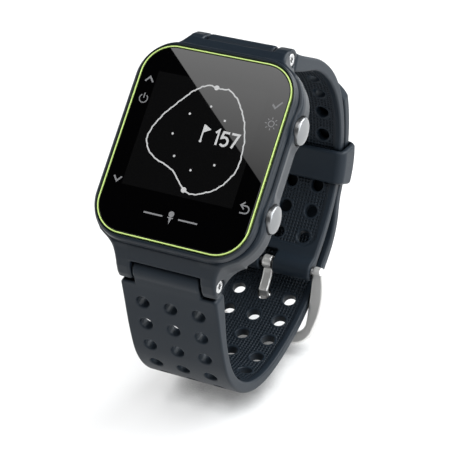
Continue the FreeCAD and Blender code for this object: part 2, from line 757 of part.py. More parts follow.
def spline(points):
    curve = Part.BSplineCurve()
    curve.interpolate(points)
    return curve.toShape()


def thick_band(path, stations, width):
    """Strap whose thickness follows (distance, outer offset, inner offset) stations."""
    outer = [Vec(-width / 2, *path.at(distance, out)[0]) for distance, out, _ in stations]
    inner = [Vec(-width / 2, *path.at(distance, -into)[0]) for distance, _, into in stations]
    return extrude_chain([spline(outer), spline(inner), Part.makeLine(outer[0], inner[0]),
                          Part.makeLine(outer[-1], inner[-1])], width)


def from_far_end(stations):
    """Stations measured back from the end of the lower path, kept just inside it."""
    return [(lower.length - max(distance, 1e-6), out, into)
            for distance, out, into in stations[::-1]]


def cut_hole_row(strap, path, distance, offset=0.0, length=8.0):
    centre, _, normal = path.frame(distance, offset)
    for x in (-HOLE_X, 0.0, HOLE_X):
        start = centre + Vec(x, 0, 0) - normal * (length / 2)
        strap = strap.cut(Part.makeCylinder(HOLE_R, length, start, normal))
    return strap


def strap_upper():
    """12 o'clock half, which carries the buckle."""
    strap = band(upper, ROOT_END, upper.length - 1.6)
    root = thick_band(upper, ROOT, STRAP_W)
    tab = thick_band(upper, TAB, TAB_W)
    hub = lug_cyl(HUB_R, -HALF_TAB, HALF_TAB, 1)
    eye = cyl_x(EYE_R, -HALF_W, HALF_W, BAR_Y, BAR_Z)
    strap = strap.fuse([root, tab, hub, eye])
    strap = strap.cut(lug_cyl(HUB_BORE_R, -12, 12, 1))
    strap = strap.cut(cyl_x(BAR_BORE_R + 0.05, -14, 14, BAR_Y, BAR_Z))
    # notch for the tang in the rolled end
    strap = strap.cut(box((-1.75, 1.75), (BAR_Y - 4, BAR_Y + 3.2), around(BAR_Z, 4)))
    for distance in UPPER_ROWS:
        strap = cut_hole_row(strap, upper, distance)
    return main_solid(strap)


def strap_tail():
    """Tail over the upper strap, its tip rounded in plan by a drum."""
    tail = band(upper, TAIL_TIP_AT, TAIL_LEAVES_AT, LAYER_STEP)
    tip, along, normal = upper.frame(TAIL_TIP_AT, LAYER_STEP)
    heading = upper.at(TAIL_TIP_AT, LAYER_STEP)[1]
    trim = Part.makeBox(30, TIP_LEN, 14, Vec(-15, 0, -7))
    trim.Placement = FreeCAD.Placement(tip, FreeCAD.Rotation(X_AXIS, math.degrees(heading)))
    drum = Part.makeCylinder(TIP_R, 14, tip + along * TIP_R - normal * 7, normal)
    return tail.cut(trim.cut(drum))


def strap_lower():
    """6 o'clock half, with the tail that passes through the keeper."""
    strap = band(lower, 0.0, lower.length - ROOT_END)
    tail = strap_tail()
    root = thick_band(lower, from_far_end(ROOT), STRAP_W)
    tab = thick_band(lower, from_far_end(TAB), TAB_W)
    hub = lug_cyl(HUB_R, -HALF_TAB, HALF_TAB, -1)
    strap = strap.fuse([tail, root, tab, hub])
    strap = strap.cut(lug_cyl(HUB_BORE_R, -12, 12, -1))
    for distance in LOWER_ROWS:
        strap = cut_hole_row(strap, lower, lower.length - distance)
    for distance in TAIL_ROWS:
        strap = cut_hole_row(strap, upper, distance, LAYER_STEP, 3.0)
    return main_solid(strap)


# ---------------------------------------------------------------------------
# keeper loop: a ring round both layers, concentric with the third upper run
# ---------------------------------------------------------------------------
KEEPER_AT = 56.0
KEEPER_LEN = 8.6
KEEPER_T = 1.60
KEEPER_HALF_W = HALF_W + 0.15
KEEPER_GAP = 0.10
KEEPER_OUT_CORNER = 2.3
KEEPER_IN_CORNER = 0.25


def keeper_loop():
    _, curvature, (run_y, run_z), angle = upper.runs[2]
    centre = Vec(0, run_y - math.sin(angle) / curvature, run_z + math.cos(angle) / curvature)
    radial = upper.frame(KEEPER_AT - KEEPER_LEN / 2)[0] - centre
    radial.normalize()
    path_r = abs(1.0 / curvature)
    inner_r = path_r - HALF_T - KEEPER_GAP
    outer_r = path_r + LAYER_STEP + HALF_T + KEEPER_GAP
    sweep_deg = math.degrees(KEEPER_LEN * curvature)

    def swept(wall, corner):
        """Section across the strap, grown by wall and swept along it."""
        half_w = KEEPER_HALF_W + wall
        wire = rounded_wire(-half_w, half_w, inner_r - wall, outer_r + wall, corner,
                            lambda x, radius: centre + radial * radius + Vec(x, 0, 0))
        return Part.Face(wire).revolve(centre, X_AXIS, sweep_deg)

    return main_solid(swept(KEEPER_T, KEEPER_OUT_CORNER).cut(swept(0.0, KEEPER_IN_CORNER)))


# ---------------------------------------------------------------------------
# buckle: spring bar, frame, tang
# ---------------------------------------------------------------------------
BAR_R = 0.75
BAR_HALF_LEN = 11.15
BAR_PIN_R = 0.45
BAR_PIN_END = 13.2

# the frame's own plane: along from the bar to the far rail, inward to the wrist
FRAME_ANGLE = math.atan2(-7.2, -14.9)
FRAME_ALONG = Vec(0, math.cos(FRAME_ANGLE), math.sin(FRAME_ANGLE))
FRAME_INWARD = Vec(0, math.sin(FRAME_ANGLE), -math.cos(FRAME_ANGLE))
FRAME_DEPTH = 6.0           # half depth of the plan prism
# +X half of each plan (x, along); arcs pass through points in threes, sharing ends
FRAME_OUTER = [(13.6, -1.9), (14.75, 6.0), (13.5, 14.0), (11.5, 17.2), (7.8, 18.1), (0, 18.6)]
FRAME_INNER = [(11.60, -3.0), (11.50, 6.0), (11.45, 12.4), (10.4, 14.8), (7.5, 15.4), (0, 15.8)]
# side view (along, inward): arcs bowed away from the wrist
FRAME_INWARD_ARC = [(-1.9, 1.35), (8.5, -0.25), (19.2, 1.05)]
FRAME_OUTWARD_ARC = [(-1.9, -1.45), (8.5, -3.55), (19.2, -1.65)]
FRAME_SIDE_X = 16.0

TANG_W = 2.30
TANG_T = 1.05
TANG_EYE_R = 1.60


def bar_cyl(radius, x0, x1):
    return cyl_x(radius, x0, x1, BAR_Y, BAR_Z)


def buckle_spring_bar():
    bar = bar_cyl(BAR_R, -BAR_HALF_LEN, BAR_HALF_LEN)
    for sx in (1, -1):
        bar = bar.fuse(bar_cyl(BAR_PIN_R, sx * BAR_HALF_LEN, sx * BAR_PIN_END))
    return main_solid(bar)


def frame_point(x, along, inward):
    return Vec(0, BAR_Y, BAR_Z) + FRAME_ALONG * along + Vec(x, 0, 0) + FRAME_INWARD * inward


def frame_prism(half_plan):
    """Mirrored plan, closed by a line near the bar and extruded inward."""
    plan = half_plan + [(-x, along) for x, along in half_plan[-2::-1]]
    points = [frame_point(x, along, -FRAME_DEPTH) for x, along in plan]
    edges = [arc(*points[i:i + 3]) for i in range(0, len(points) - 2, 2)]
    edges.append(Part.makeLine(points[-1], points[0]))
    return Part.Face(Part.Wire(edges)).extrude(FRAME_INWARD * (2 * FRAME_DEPTH))


def buckle_frame():
    ring = frame_prism(FRAME_OUTER).cut(frame_prism(FRAME_INNER))
    inward = [frame_point(-FRAME_SIDE_X, *point) for point in FRAME_INWARD_ARC]
    outward = [frame_point(-FRAME_SIDE_X, *point) for point in FRAME_OUTWARD_ARC]
    side = Part.Face(Part.Wire([arc(*inward), Part.makeLine(inward[2], outward[2]),
                                arc(*outward), Part.makeLine(outward[0], inward[0])]))
    frame = ring.common(side.extrude(Vec(2 * FRAME_SIDE_X, 0, 0)))
    for sx in (1, -1):
        frame = frame.cut(bar_cyl(BAR_PIN_R + 0.05, sx * 11.0, sx * 13.25))
    return main_solid(frame)


def bent_strip(points, thickness, x0, x1):
    """Flat strip following a polyline of (y, z), mitred at the bends."""
    normals = []
    for (ya, za), (yb, zb) in zip(points, points[1:]):
        length = math.hypot(yb - ya, zb - za)
        normals.append((-(zb - za) / length, (yb - ya) / length))
    left, right = [], []
    for i, (y, z) in enumerate(points):
        before, after = normals[max(i - 1, 0)], normals[min(i, len(normals) - 1)]
        mitre_y, mitre_z = before[0] + after[0], before[1] + after[1]
        length = math.hypot(mitre_y, mitre_z)
        mitre_y, mitre_z = mitre_y / length, mitre_z / length
        reach = (thickness / 2) / (mitre_y * before[0] + mitre_z * before[1])
        left.append((y + mitre_y * reach, z + mitre_z * reach))
        right.append((y - mitre_y * reach, z - mitre_z * reach))
    return poly_x(left + right[::-1], x0, x1)


def buckle_tang():
    """Eye on the bar, shank along the strap, through a hole, tip on the rail."""
    hole, _, outward = lower.frame(lower.length - TANG_ROW)
    inside = hole - outward * 1.55
    outside = hole + outward * 1.45
    rail = frame_point(0, 17.05, -2.62)
    centre_line = [
        (BAR_Y - 0.35, BAR_Z - 1.05), (-10.2, -63.35),
        (inside.y + 0.55, inside.z + 0.45), (inside.y - 0.25, inside.z - 0.75),
        (outside.y, outside.z), (outside.y - 1.15, outside.z - 1.75),
        (rail.y + 1.2, rail.z - 1.35), (rail.y - 1.6, rail.z - 1.75),
    ]
    tang = bent_strip(centre_line, TANG_T, -TANG_W / 2, TANG_W / 2)
    tang = tang.fuse(bar_cyl(TANG_EYE_R, -TANG_W / 2, TANG_W / 2))
    return main_solid(tang.cut(bar_cyl(BAR_BORE_R, -3, 3)))


# ---------------------------------------------------------------------------
# build, stand the watch on its strap and write one file per named piece
# ---------------------------------------------------------------------------
# pieces whose file is named after their function
BUILDERS = [
    lens, accent_ring, bezel, lens_adhesive, case_shell, back_seal, back_screws,
    charging_contacts, display_panel, display_tray, display_flex, inner_chassis,
    main_board, board_screws, flex_connector, side_switches, battery, battery_tabs,
    gps_antenna, motor_can, motor_weight, motor_shaft, button_orings, lug_screws,
    strap_upper, strap_lower, keeper_loop, buckle_spring_bar, buckle_frame, buckle_tang,
]
parts = {build.__name__: build() for build in BUILDERS}
parts["back_cover"] = back_cover(parts["case_shell"])
parts["lug_tube_12"] = lug_tube(1)
parts["lug_tube_6"] = lug_tube(-1)
for label, sx, sy in BUTTONS:
    name = "button_" + label
    parts[name], parts[name + "_clip"], parts[name + "_spring"] = button_pieces(sx, sy)

os.makedirs("parts", exist_ok=True)
for name, shape in parts.items():
    placed = shape.copy()
    placed.rotate(ORIGIN, X_AXIS, TILT_DEG)
    placed.translate(SHIFT)
    placed.exportStep("parts/%s.step" % name)
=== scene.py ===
# Golf GPS watch: the visible skin, materials, camera, floor and light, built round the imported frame.
import json
import math

import bpy
import numpy as np
from mathutils import Matrix, Vector


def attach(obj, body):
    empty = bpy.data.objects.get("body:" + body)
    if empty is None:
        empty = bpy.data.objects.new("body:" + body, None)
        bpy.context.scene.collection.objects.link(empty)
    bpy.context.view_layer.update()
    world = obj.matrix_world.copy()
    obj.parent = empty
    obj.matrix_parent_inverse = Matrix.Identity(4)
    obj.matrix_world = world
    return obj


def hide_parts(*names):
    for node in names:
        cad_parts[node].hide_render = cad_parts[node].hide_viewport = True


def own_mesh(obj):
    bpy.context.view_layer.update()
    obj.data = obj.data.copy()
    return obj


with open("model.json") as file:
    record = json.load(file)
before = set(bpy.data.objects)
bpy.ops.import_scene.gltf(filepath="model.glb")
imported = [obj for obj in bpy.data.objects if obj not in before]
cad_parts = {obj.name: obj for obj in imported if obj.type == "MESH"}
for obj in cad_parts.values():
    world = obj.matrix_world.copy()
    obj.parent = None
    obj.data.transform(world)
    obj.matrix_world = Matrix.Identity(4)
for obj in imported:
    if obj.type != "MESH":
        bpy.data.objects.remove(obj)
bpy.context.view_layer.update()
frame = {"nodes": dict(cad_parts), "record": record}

# ---------------------------------------------------------------------------
# the case frame inside the row frame, read from the back-face mount (mm here, metres in Blender)
# ---------------------------------------------------------------------------
mount = [m for m in frame["record"]["mounts"] if m["name"] == "case_back"][0]
SA, CA = mount["axis"][1], -mount["axis"][2]
BACK_Z = -11.40
SHIFT_Y = mount["pos_m"][1] * 1000 + BACK_Z * SA
SHIFT_Z = mount["pos_m"][2] * 1000 - BACK_Z * CA


def to_row(p):
    """Case-frame millimetres to row-frame metres."""
    p = np.asarray(p, float)
    return np.stack([p[:, 0], p[:, 1] * CA - p[:, 2] * SA + SHIFT_Y,
                     p[:, 1] * SA + p[:, 2] * CA + SHIFT_Z], 1) / 1000.0


def turn(v):
    """Direction from the case frame to the row frame."""
    return Vector((v[0], v[1] * CA - v[2] * SA, v[1] * SA + v[2] * CA))


# ---------------------------------------------------------------------------
# the CAD's driving dimensions (mm, case frame)
# ---------------------------------------------------------------------------
LENS = (16.78, 20.50, 6.43)
CASE_Z = [-9.20, -8.75, -7.80, -4.55, -4.15, -2.70, -2.30]
FULL_HW = [17.80, 18.45, 19.12, 19.32, 19.36, 19.22, 18.85]
WAIST_HW = [17.25, 17.90, 18.50, 18.70, 18.80, 19.10, 18.80]
CASE_HH = [21.20, 21.75, 22.25, 22.42, 22.38, 22.28, 22.10]
CASE_R = [8.40, 8.70, 9.05, 9.22, 9.15, 8.95, 8.80]
LUG_Y, LUG_Z = 25.20, -8.40
LUG_PROFILE = [(17.0, -2.40), (22.4, -2.45), (25.05, -4.60), (26.3, -5.9), (27.45, -7.7),
               (27.9, -8.9), (27.75, -9.9), (27.0, -10.6), (23.5, -10.7), (17.0, -9.1)]
APRON = [(17.0, -2.40), (22.4, -2.45), (25.05, -4.60), (25.05, -5.60), (19.5, -5.60), (17.0, -4.0)]
BTN_Y, BTN_Z = 9.70, -5.40
STRAP_HW, TAB_HW, OFF = 11.20, 7.70, 3.10
HOLE_R, HOLE_X = 1.52, 6.55
BAR_Y, BAR_Z = -7.50, -61.20
UPPER_START = (25.20, -8.40)
UPPER_ANGLE = -1.2436877527855061
UPPER_RUNS = [(14.96, 0.0), (10.58, -0.025496), (40.457, -0.0364863), (16.399, -0.0213786)]
LOWER_RUNS = [(5.0, 0.0720128), (10.22, -0.0712323), (35.8375, -0.0189418),
              (14.6162, -0.0402523), (16.4613, -0.0450076), (21.985, -0.0088492)]
TAIL_TIP, TAIL_LEAVES = 33.0, 62.0


class Path:
    """Plane curve in YZ made of straight and circular runs, with points offset to its left."""

    def __init__(self, start, angle, runs):
        self.rows, p, a, s = [], start, angle, 0.0
        for length, k in runs:
            self.rows.append((s, k, p, a))
            p, a = self.step(p, a, k, length)
            s += length
        self.length = s

    @staticmethod
    def step(p, a, k, d):
        if abs(k) < 1e-9:
            return (p[0] + d * np.cos(a), p[1] + d * np.sin(a)), a + 0 * d
        return (p[0] + (np.sin(a + k * d) - np.sin(a)) / k,
                p[1] - (np.cos(a + k * d) - np.cos(a)) / k), a + k * d

    def bend(self, s, off):
        s, off = np.asarray(s, float), np.asarray(off, float)
        y, z = np.zeros_like(s), np.zeros_like(s)
        which = np.zeros(s.shape, int)
        for i, row in enumerate(self.rows):
            which[s >= row[0]] = i
        for i, (s0, k, p, a) in enumerate(self.rows):
            m = which == i
            if m.any():
                q, b = self.step(p, a, k, s[m] - s0)
                y[m] = q[0] - off[m] * np.sin(b)
                z[m] = q[1] + off[m] * np.cos(b)
        return y, z


upper = Path(UPPER_START, UPPER_ANGLE, UPPER_RUNS)
LAID = 1 + 0.0364863 * OFF      # how much longer the outer layer is where it lies over the inner one
tail_start, _ = upper.step(upper.rows[2][2], upper.rows[2][3], upper.rows[2][1], TAIL_TIP - upper.rows[2][0])
tail_angle = upper.rows[2][3] + upper.rows[2][1] * (TAIL_TIP - upper.rows[2][0])
tail_start = (tail_start[0] - OFF * math.sin(tail_angle), tail_start[1] + OFF * math.cos(tail_angle))
TAIL_LEN = (TAIL_LEAVES - TAIL_TIP) * LAID
lower = Path(tail_start, tail_angle, [(TAIL_LEN, -0.0364863 / LAID)] + LOWER_RUNS)


# ---------------------------------------------------------------------------
# distance-field helpers
# ---------------------------------------------------------------------------
def smin(a, b, k):
    h = np.clip(0.5 + 0.5 * (b - a) / k, 0, 1)
    return b + (a - b) * h - k * h * (1 - h)


def smax(a, b, k):
    return -smin(-a, -b, k)


def rmax(a, b, r):
    """Intersection of two fields with its edge rounded to radius r."""
    qa, qb = a + r, b + r
    return np.hypot(np.maximum(qa, 0), np.maximum(qb, 0)) + np.minimum(np.maximum(qa, qb), 0) - r


def rrect(x, y, hw, hh, r):
    qx, qy = np.abs(x) - hw + r, np.abs(y) - hh + r
    return np.hypot(np.maximum(qx, 0), np.maximum(qy, 0)) + np.minimum(np.maximum(qx, qy), 0) - r


def polygon(px, py, pts):
    """Signed distance to a closed polygon."""
    d = np.full(px.shape, 1e9)
    inside = np.zeros(px.shape, bool)
    n = len(pts)
    for i in range(n):
        ax, ay = pts[i]
        bx, by = pts[(i + 1) % n]
        ex, ey = bx - ax, by - ay
        wx, wy = px - ax, py - ay
        t = np.clip((wx * ex + wy * ey) / (ex * ex + ey * ey), 0, 1)
        d = np.minimum(d, (wx - ex * t) ** 2 + (wy - ey * t) ** 2)
        if abs(by - ay) > 1e-12:
            inside ^= ((ay > py) != (by > py)) & (px < (bx - ax) * (py - ay) / (by - ay) + ax)
    return np.where(inside, -1.0, 1.0) * np.sqrt(d)


class Sampled:
    """A plane field kept on a fine grid and read by bilinear interpolation."""

    def __init__(self, f, lo, hi, step):
        self.lo, self.step = np.array(lo, float), step
        nx, ny = [int(math.ceil((hi[i] - lo[i]) / step)) + 1 for i in range(2)]
        gx, gy = np.meshgrid(lo[0] + step * np.arange(nx), lo[1] + step * np.arange(ny), indexing="ij")
        self.v = f(gx.ravel(), gy.ravel()).reshape(nx, ny)

    def __call__(self, x, y):
        u = np.clip((x - self.lo[0]) / self.step, 0, self.v.shape[0] - 1.001)
        v = np.clip((y - self.lo[1]) / self.step, 0, self.v.shape[1] - 1.001)
        i, j = u.astype(int), v.astype(int)
        u, v = u - i, v - j
        g = self.v
        return ((g[i, j] * (1 - u) + g[i + 1, j] * u) * (1 - v)
                + (g[i, j + 1] * (1 - u) + g[i + 1, j + 1] * u) * v)


EDGES = [((0, 0, 0), (1, 0, 0)), ((0, 1, 0), (1, 1, 0)), ((0, 0, 1), (1, 0, 1)), ((0, 1, 1), (1, 1, 1)),
         ((0, 0, 0), (0, 1, 0)), ((1, 0, 0), (1, 1, 0)), ((0, 0, 1), (0, 1, 1)), ((1, 0, 1), (1, 1, 1)),
         ((0, 0, 0), (0, 0, 1)), ((1, 0, 0), (1, 0, 1)), ((0, 1, 0), (0, 1, 1)), ((1, 1, 0), (1, 1, 1))]


def nets(f, lo, hi, step, rounds=2):
    """Surface of f = 0 as quads, its points pulled onto the exact surface."""
    lo, hi = np.array(lo, float), np.array(hi, float)
    step = np.array(step if hasattr(step, "__len__") else [step] * 3, float)
    n = np.ceil((hi - lo) / step).astype(int) + 1
    ax = [lo[i] + step[i] * np.arange(n[i]) for i in range(3)]
    D = np.empty(n, np.float32)
    c = max(1, int(300000 / (n[1] * n[2])))
    for i in range(0, n[0], c):
        X, Y, Z = np.meshgrid(ax[0][i:i + c], ax[1], ax[2], indexing="ij")
        D[i:i + c] = f(X.ravel(), Y.ravel(), Z.ravel()).reshape(X.shape)
    ins = D < 0
    cnt = np.zeros(tuple(n - 1), np.int8)
    for a in (0, 1):
        for b in (0, 1):
            for d in (0, 1):
                cnt += ins[a:n[0] - 1 + a, b:n[1] - 1 + b, d:n[2] - 1 + d]
    act = (cnt > 0) & (cnt < 8)
    idx = np.full(act.shape, -1, np.int32)
    ci, cj, ck = np.nonzero(act)
    idx[act] = np.arange(len(ci), dtype=np.int32)
    acc, num = np.zeros((len(ci), 3)), np.zeros(len(ci))
    for a, b in EDGES:
        da = D[ci + a[0], cj + a[1], ck + a[2]]
        db = D[ci + b[0], cj + b[1], ck + b[2]]
        m = (da < 0) != (db < 0)
        t = da[m] / (da[m] - db[m])
        acc[m] += np.array(a) + t[:, None] * (np.array(b) - np.array(a))
        num[m] += 1
    P = (np.stack([ci, cj, ck], 1) + acc / num[:, None]) * step + lo
    F = []
    for axis in range(3):
        u, v = (axis + 1) % 3, (axis + 2) % 3
        a = np.take(ins, np.arange(n[axis] - 1), axis)
        b = np.take(ins, np.arange(1, n[axis]), axis)
        e = np.nonzero(a != b)
        ok = (e[u] >= 1) & (e[v] >= 1) & (e[u] <= n[u] - 2) & (e[v] <= n[v] - 2)
        e = [q[ok] for q in e]
        first = a[tuple(e)]
        quad = []
        for du, dv in ((-1, -1), (0, -1), (0, 0), (-1, 0)):
            g = list(e)
            g[u], g[v] = e[u] + du, e[v] + dv
            quad.append(idx[tuple(g)])
        q = np.stack(quad, 1)
        q[~first] = q[~first][:, ::-1]
        F.append(q)
    F = np.concatenate(F)
    h = 0.02
    for _ in range(rounds):
        d = f(P[:, 0], P[:, 1], P[:, 2])
        g = np.stack([f(P[:, 0] + h * (i == 0), P[:, 1] + h * (i == 1), P[:, 2] + h * (i == 2)) - d
                      for i in range(3)], 1) / h
        move = -(d / np.maximum((g * g).sum(1), 0.2))[:, None] * g
        size = np.linalg.norm(move, axis=1)
        P += move * np.minimum(1, 0.5 * step.min() / np.maximum(size, 1e-9))[:, None]
    return P, F


def build(name, P, F, sharp=None, row=False):
    """Mesh object from points and faces of one size (numpy) or mixed faces (list)."""
    me = bpy.data.meshes.new(name)
    P = np.ascontiguousarray(P if row else to_row(P), np.float32)
    if isinstance(F, np.ndarray):
        k = F.shape[1]
        me.vertices.add(len(P))
        me.vertices.foreach_set("co", P.ravel())
        me.loops.add(F.size)
        me.loops.foreach_set("vertex_index", np.ascontiguousarray(F, np.int32).ravel())
        me.polygons.add(len(F))
        me.polygons.foreach_set("loop_start", np.arange(0, F.size, k, dtype=np.int32))
        me.update(calc_edges=True)
    else:
        me.from_pydata(P.tolist(), [], F)
        me.update()
    me.polygons.foreach_set("use_smooth", np.ones(len(me.polygons), bool))
    if sharp:
        me.set_sharp_from_angle(angle=math.radians(sharp))
    o = bpy.data.objects.new(name, me)
    bpy.context.scene.collection.objects.link(o)
    return o


def loft(sections, closed, n_arc=14, n_side=8, cap_end=None):
    """Rings of rounded rectangles (z, hw, hh, r) joined in order. closed joins the last to the first."""
    rings = []
    for z, hw, hh, r in sections:
        pts = []
        for cx, cy, a0 in ((1, 1, 0), (-1, 1, 90), (-1, -1, 180), (1, -1, 270)):
            for i in range(n_arc + 1):
                a = math.radians(a0 + 90.0 * i / n_arc)
                pts.append((cx * (hw - r) + r * math.cos(a), cy * (hh - r) + r * math.sin(a), z))
            nx, ny = {0: (-1, 1), 90: (-1, -1), 180: (1, -1), 270: (1, 1)}[a0]
            a = math.radians(a0 + 90)
            p = pts[-1]
            b = (nx * (hw - r) + r * math.cos(a), ny * (hh - r) + r * math.sin(a))
            for i in range(1, n_side):
                t = i / n_side
                pts.append((p[0] + (b[0] - p[0]) * t, p[1] + (b[1] - p[1]) * t, z))
        rings.append(pts)
    m = len(rings[0])
    P = [p for ring in rings for p in ring]
    F = []
    for i in range(len(rings) if closed else len(rings) - 1):
        a, b = i * m, ((i + 1) % len(rings)) * m
        for j in range(m):
            k = (j + 1) % m
            F.append((a + j, a + k, b + k, b + j))
    if not closed:
        F.append(tuple(range(m - 1, -1, -1)))
        F.append(tuple((len(rings) - 1) * m + j for j in range(m)))
    return np.array(P), F


def eased(sections, dist, n=4):
    """Closed or open list of sections with each corner replaced by a small curve."""
    S = [np.array(s, float) for s in sections]
    out = []
    for i, p in enumerate(S):
        d = dist[i]
        if d <= 0:
            out.append(tuple(p))
            continue
        a, b = S[i - 1], S[(i + 1) % len(S)]
        la, lb = np.linalg.norm(a[:3] - p[:3]), np.linalg.norm(b[:3] - p[:3])
        pa, pb = p + (a - p) * min(0.45, d / la), p + (b - p) * min(0.45, d / lb)
        for k in range(n + 1):
            t = k / n
            out.append(tuple((1 - t) ** 2 * pa + 2 * t * (1 - t) * p + t * t * pb))
    return out


def lathe(profile, n=72):
    """Turned about X: profile of (x, radius) from axis to axis."""
    P, F = [], []
    rows = []
    for x, r in profile:
        if r < 1e-6:
            rows.append([len(P)])
            P.append((x, 0, 0))
        else:
            rows.append(list(range(len(P), len(P) + n)))
            P += [(x, r * math.cos(2 * math.pi * i / n), r * math.sin(2 * math.pi * i / n)) for i in range(n)]
    for a, b in zip(rows, rows[1:]):
        for i in range(n):
            k = (i + 1) % n
            if len(a) == 1:
                F.append((a[0], b[i], b[k]))
            elif len(b) == 1:
                F.append((a[i], b[0], a[k]))
            else:
                F.append((a[i], b[i], b[k], a[k]))
    return np.array(P, float), F


def mirrored(P, F, sx=1, sy=1):
    P = np.array(P, float) * [sx, sy, 1]
    if sx * sy < 0:
        F = F[:, ::-1] if isinstance(F, np.ndarray) else [tuple(reversed(f)) for f in F]
    return P, F


def joined(parts):
    P, F, base = [], [], 0
    for p, f in parts:
        P.append(np.asarray(p, float))
        F += [tuple(int(i) + base for i in face) for face in f]
        base += len(p)
    return np.concatenate(P), F


# ---------------------------------------------------------------------------
# materials
# ---------------------------------------------------------------------------
def material(name, base, rough, metal=0.0, ior=1.45, vary=0.12, rvary=0.08, grain=2500.0, bump=0.15,
             streak=None, coat=0.0, coat_rough=0.2, spec=0.5, cavity=None):
    """Principled surface with colour, gloss and relief varied by noise, and with painted shade in hollows when cavity
    is given.
    """
    m = bpy.data.materials.new(name)
    m.use_nodes = True
    nt = m.node_tree
    nt.nodes.clear()
    N, L = nt.nodes.new, nt.links.new
    out, bs = N("ShaderNodeOutputMaterial"), N("ShaderNodeBsdfPrincipled")
    L(bs.outputs[0], out.inputs[0])
    tc = N("ShaderNodeTexCoord")
    vec = tc.outputs["Object"]
    if streak:
        mp = N("ShaderNodeMapping")
        mp.inputs["Scale"].default_value = streak
        mp.inputs["Rotation"].default_value = (math.atan2(SA, CA), 0, 0)
        L(vec, mp.inputs["Vector"])
        svec = mp.outputs[0]
    else:
        svec = vec
    broad = N("ShaderNodeTexNoise")
    broad.inputs["Scale"].default_value = 90.0
    broad.inputs["Detail"].default_value = 3.0
    L(vec, broad.inputs["Vector"])
    ramp = N("ShaderNodeMix")
    ramp.data_type = "RGBA"
    ramp.inputs[6].default_value = (*[c * (1 - vary) for c in base], 1)
    ramp.inputs[7].default_value = (*[min(1, c * (1 + vary)) for c in base], 1)
    L(broad.outputs["Fac"], ramp.inputs[0])
    if cavity:
        # painted shade: base colour and specular level darkened by ambient occlusion in holes, dimples and seams
        ao, dark = N("ShaderNodeAmbientOcclusion"), N("ShaderNodeMapRange")
        ao.samples = 8
        ao.inputs["Distance"].default_value = cavity
        dark.interpolation_type = "SMOOTHSTEP"
        dark.inputs["From Min"].default_value = 0.30
        dark.inputs["From Max"].default_value = 0.80
        dark.inputs["To Min"].default_value = 0.10
        L(ao.outputs["AO"], dark.inputs["Value"])
        shade = N("ShaderNodeMix")
        shade.data_type = "RGBA"
        shade.inputs[6].default_value = (*[c * 0.10 for c in base], 1)
        L(dark.outputs[0], shade.inputs[0])
        L(ramp.outputs[2], shade.inputs[7])
        L(shade.outputs[2], bs.inputs["Base Color"])
        level = N("ShaderNodeMath")
        level.operation = "MULTIPLY"
        level.inputs[1].default_value = spec
        L(dark.outputs[0], level.inputs[0])
        L(level.outputs[0], bs.inputs["Specular IOR Level"])
    else:
        L(ramp.outputs[2], bs.inputs["Base Color"])
    small = N("ShaderNodeTexNoise")
    small.inputs["Scale"].default_value = grain if not streak else 1.0
    small.inputs["Detail"].default_value = 4.0
    L(svec, small.inputs["Vector"])
    mr = N("ShaderNodeMapRange")
    mr.inputs["To Min"].default_value = max(0.0, rough - rvary)
    mr.inputs["To Max"].default_value = min(1.0, rough + rvary)
    L(small.outputs["Fac"], mr.inputs["Value"])
    L(mr.outputs[0], bs.inputs["Roughness"])
    bp = N("ShaderNodeBump")
    bp.inputs["Strength"].default_value = bump
    bp.inputs["Distance"].default_value = 0.00004
    L(small.outputs["Fac"], bp.inputs["Height"])
    L(bp.outputs[0], bs.inputs["Normal"])
    bs.inputs["Metallic"].default_value = metal
    bs.inputs["IOR"].default_value = ior
    bs.inputs["Specular IOR Level"].default_value = spec
    bs.inputs["Coat Weight"].default_value = coat
    bs.inputs["Coat Roughness"].default_value = coat_rough
    return m


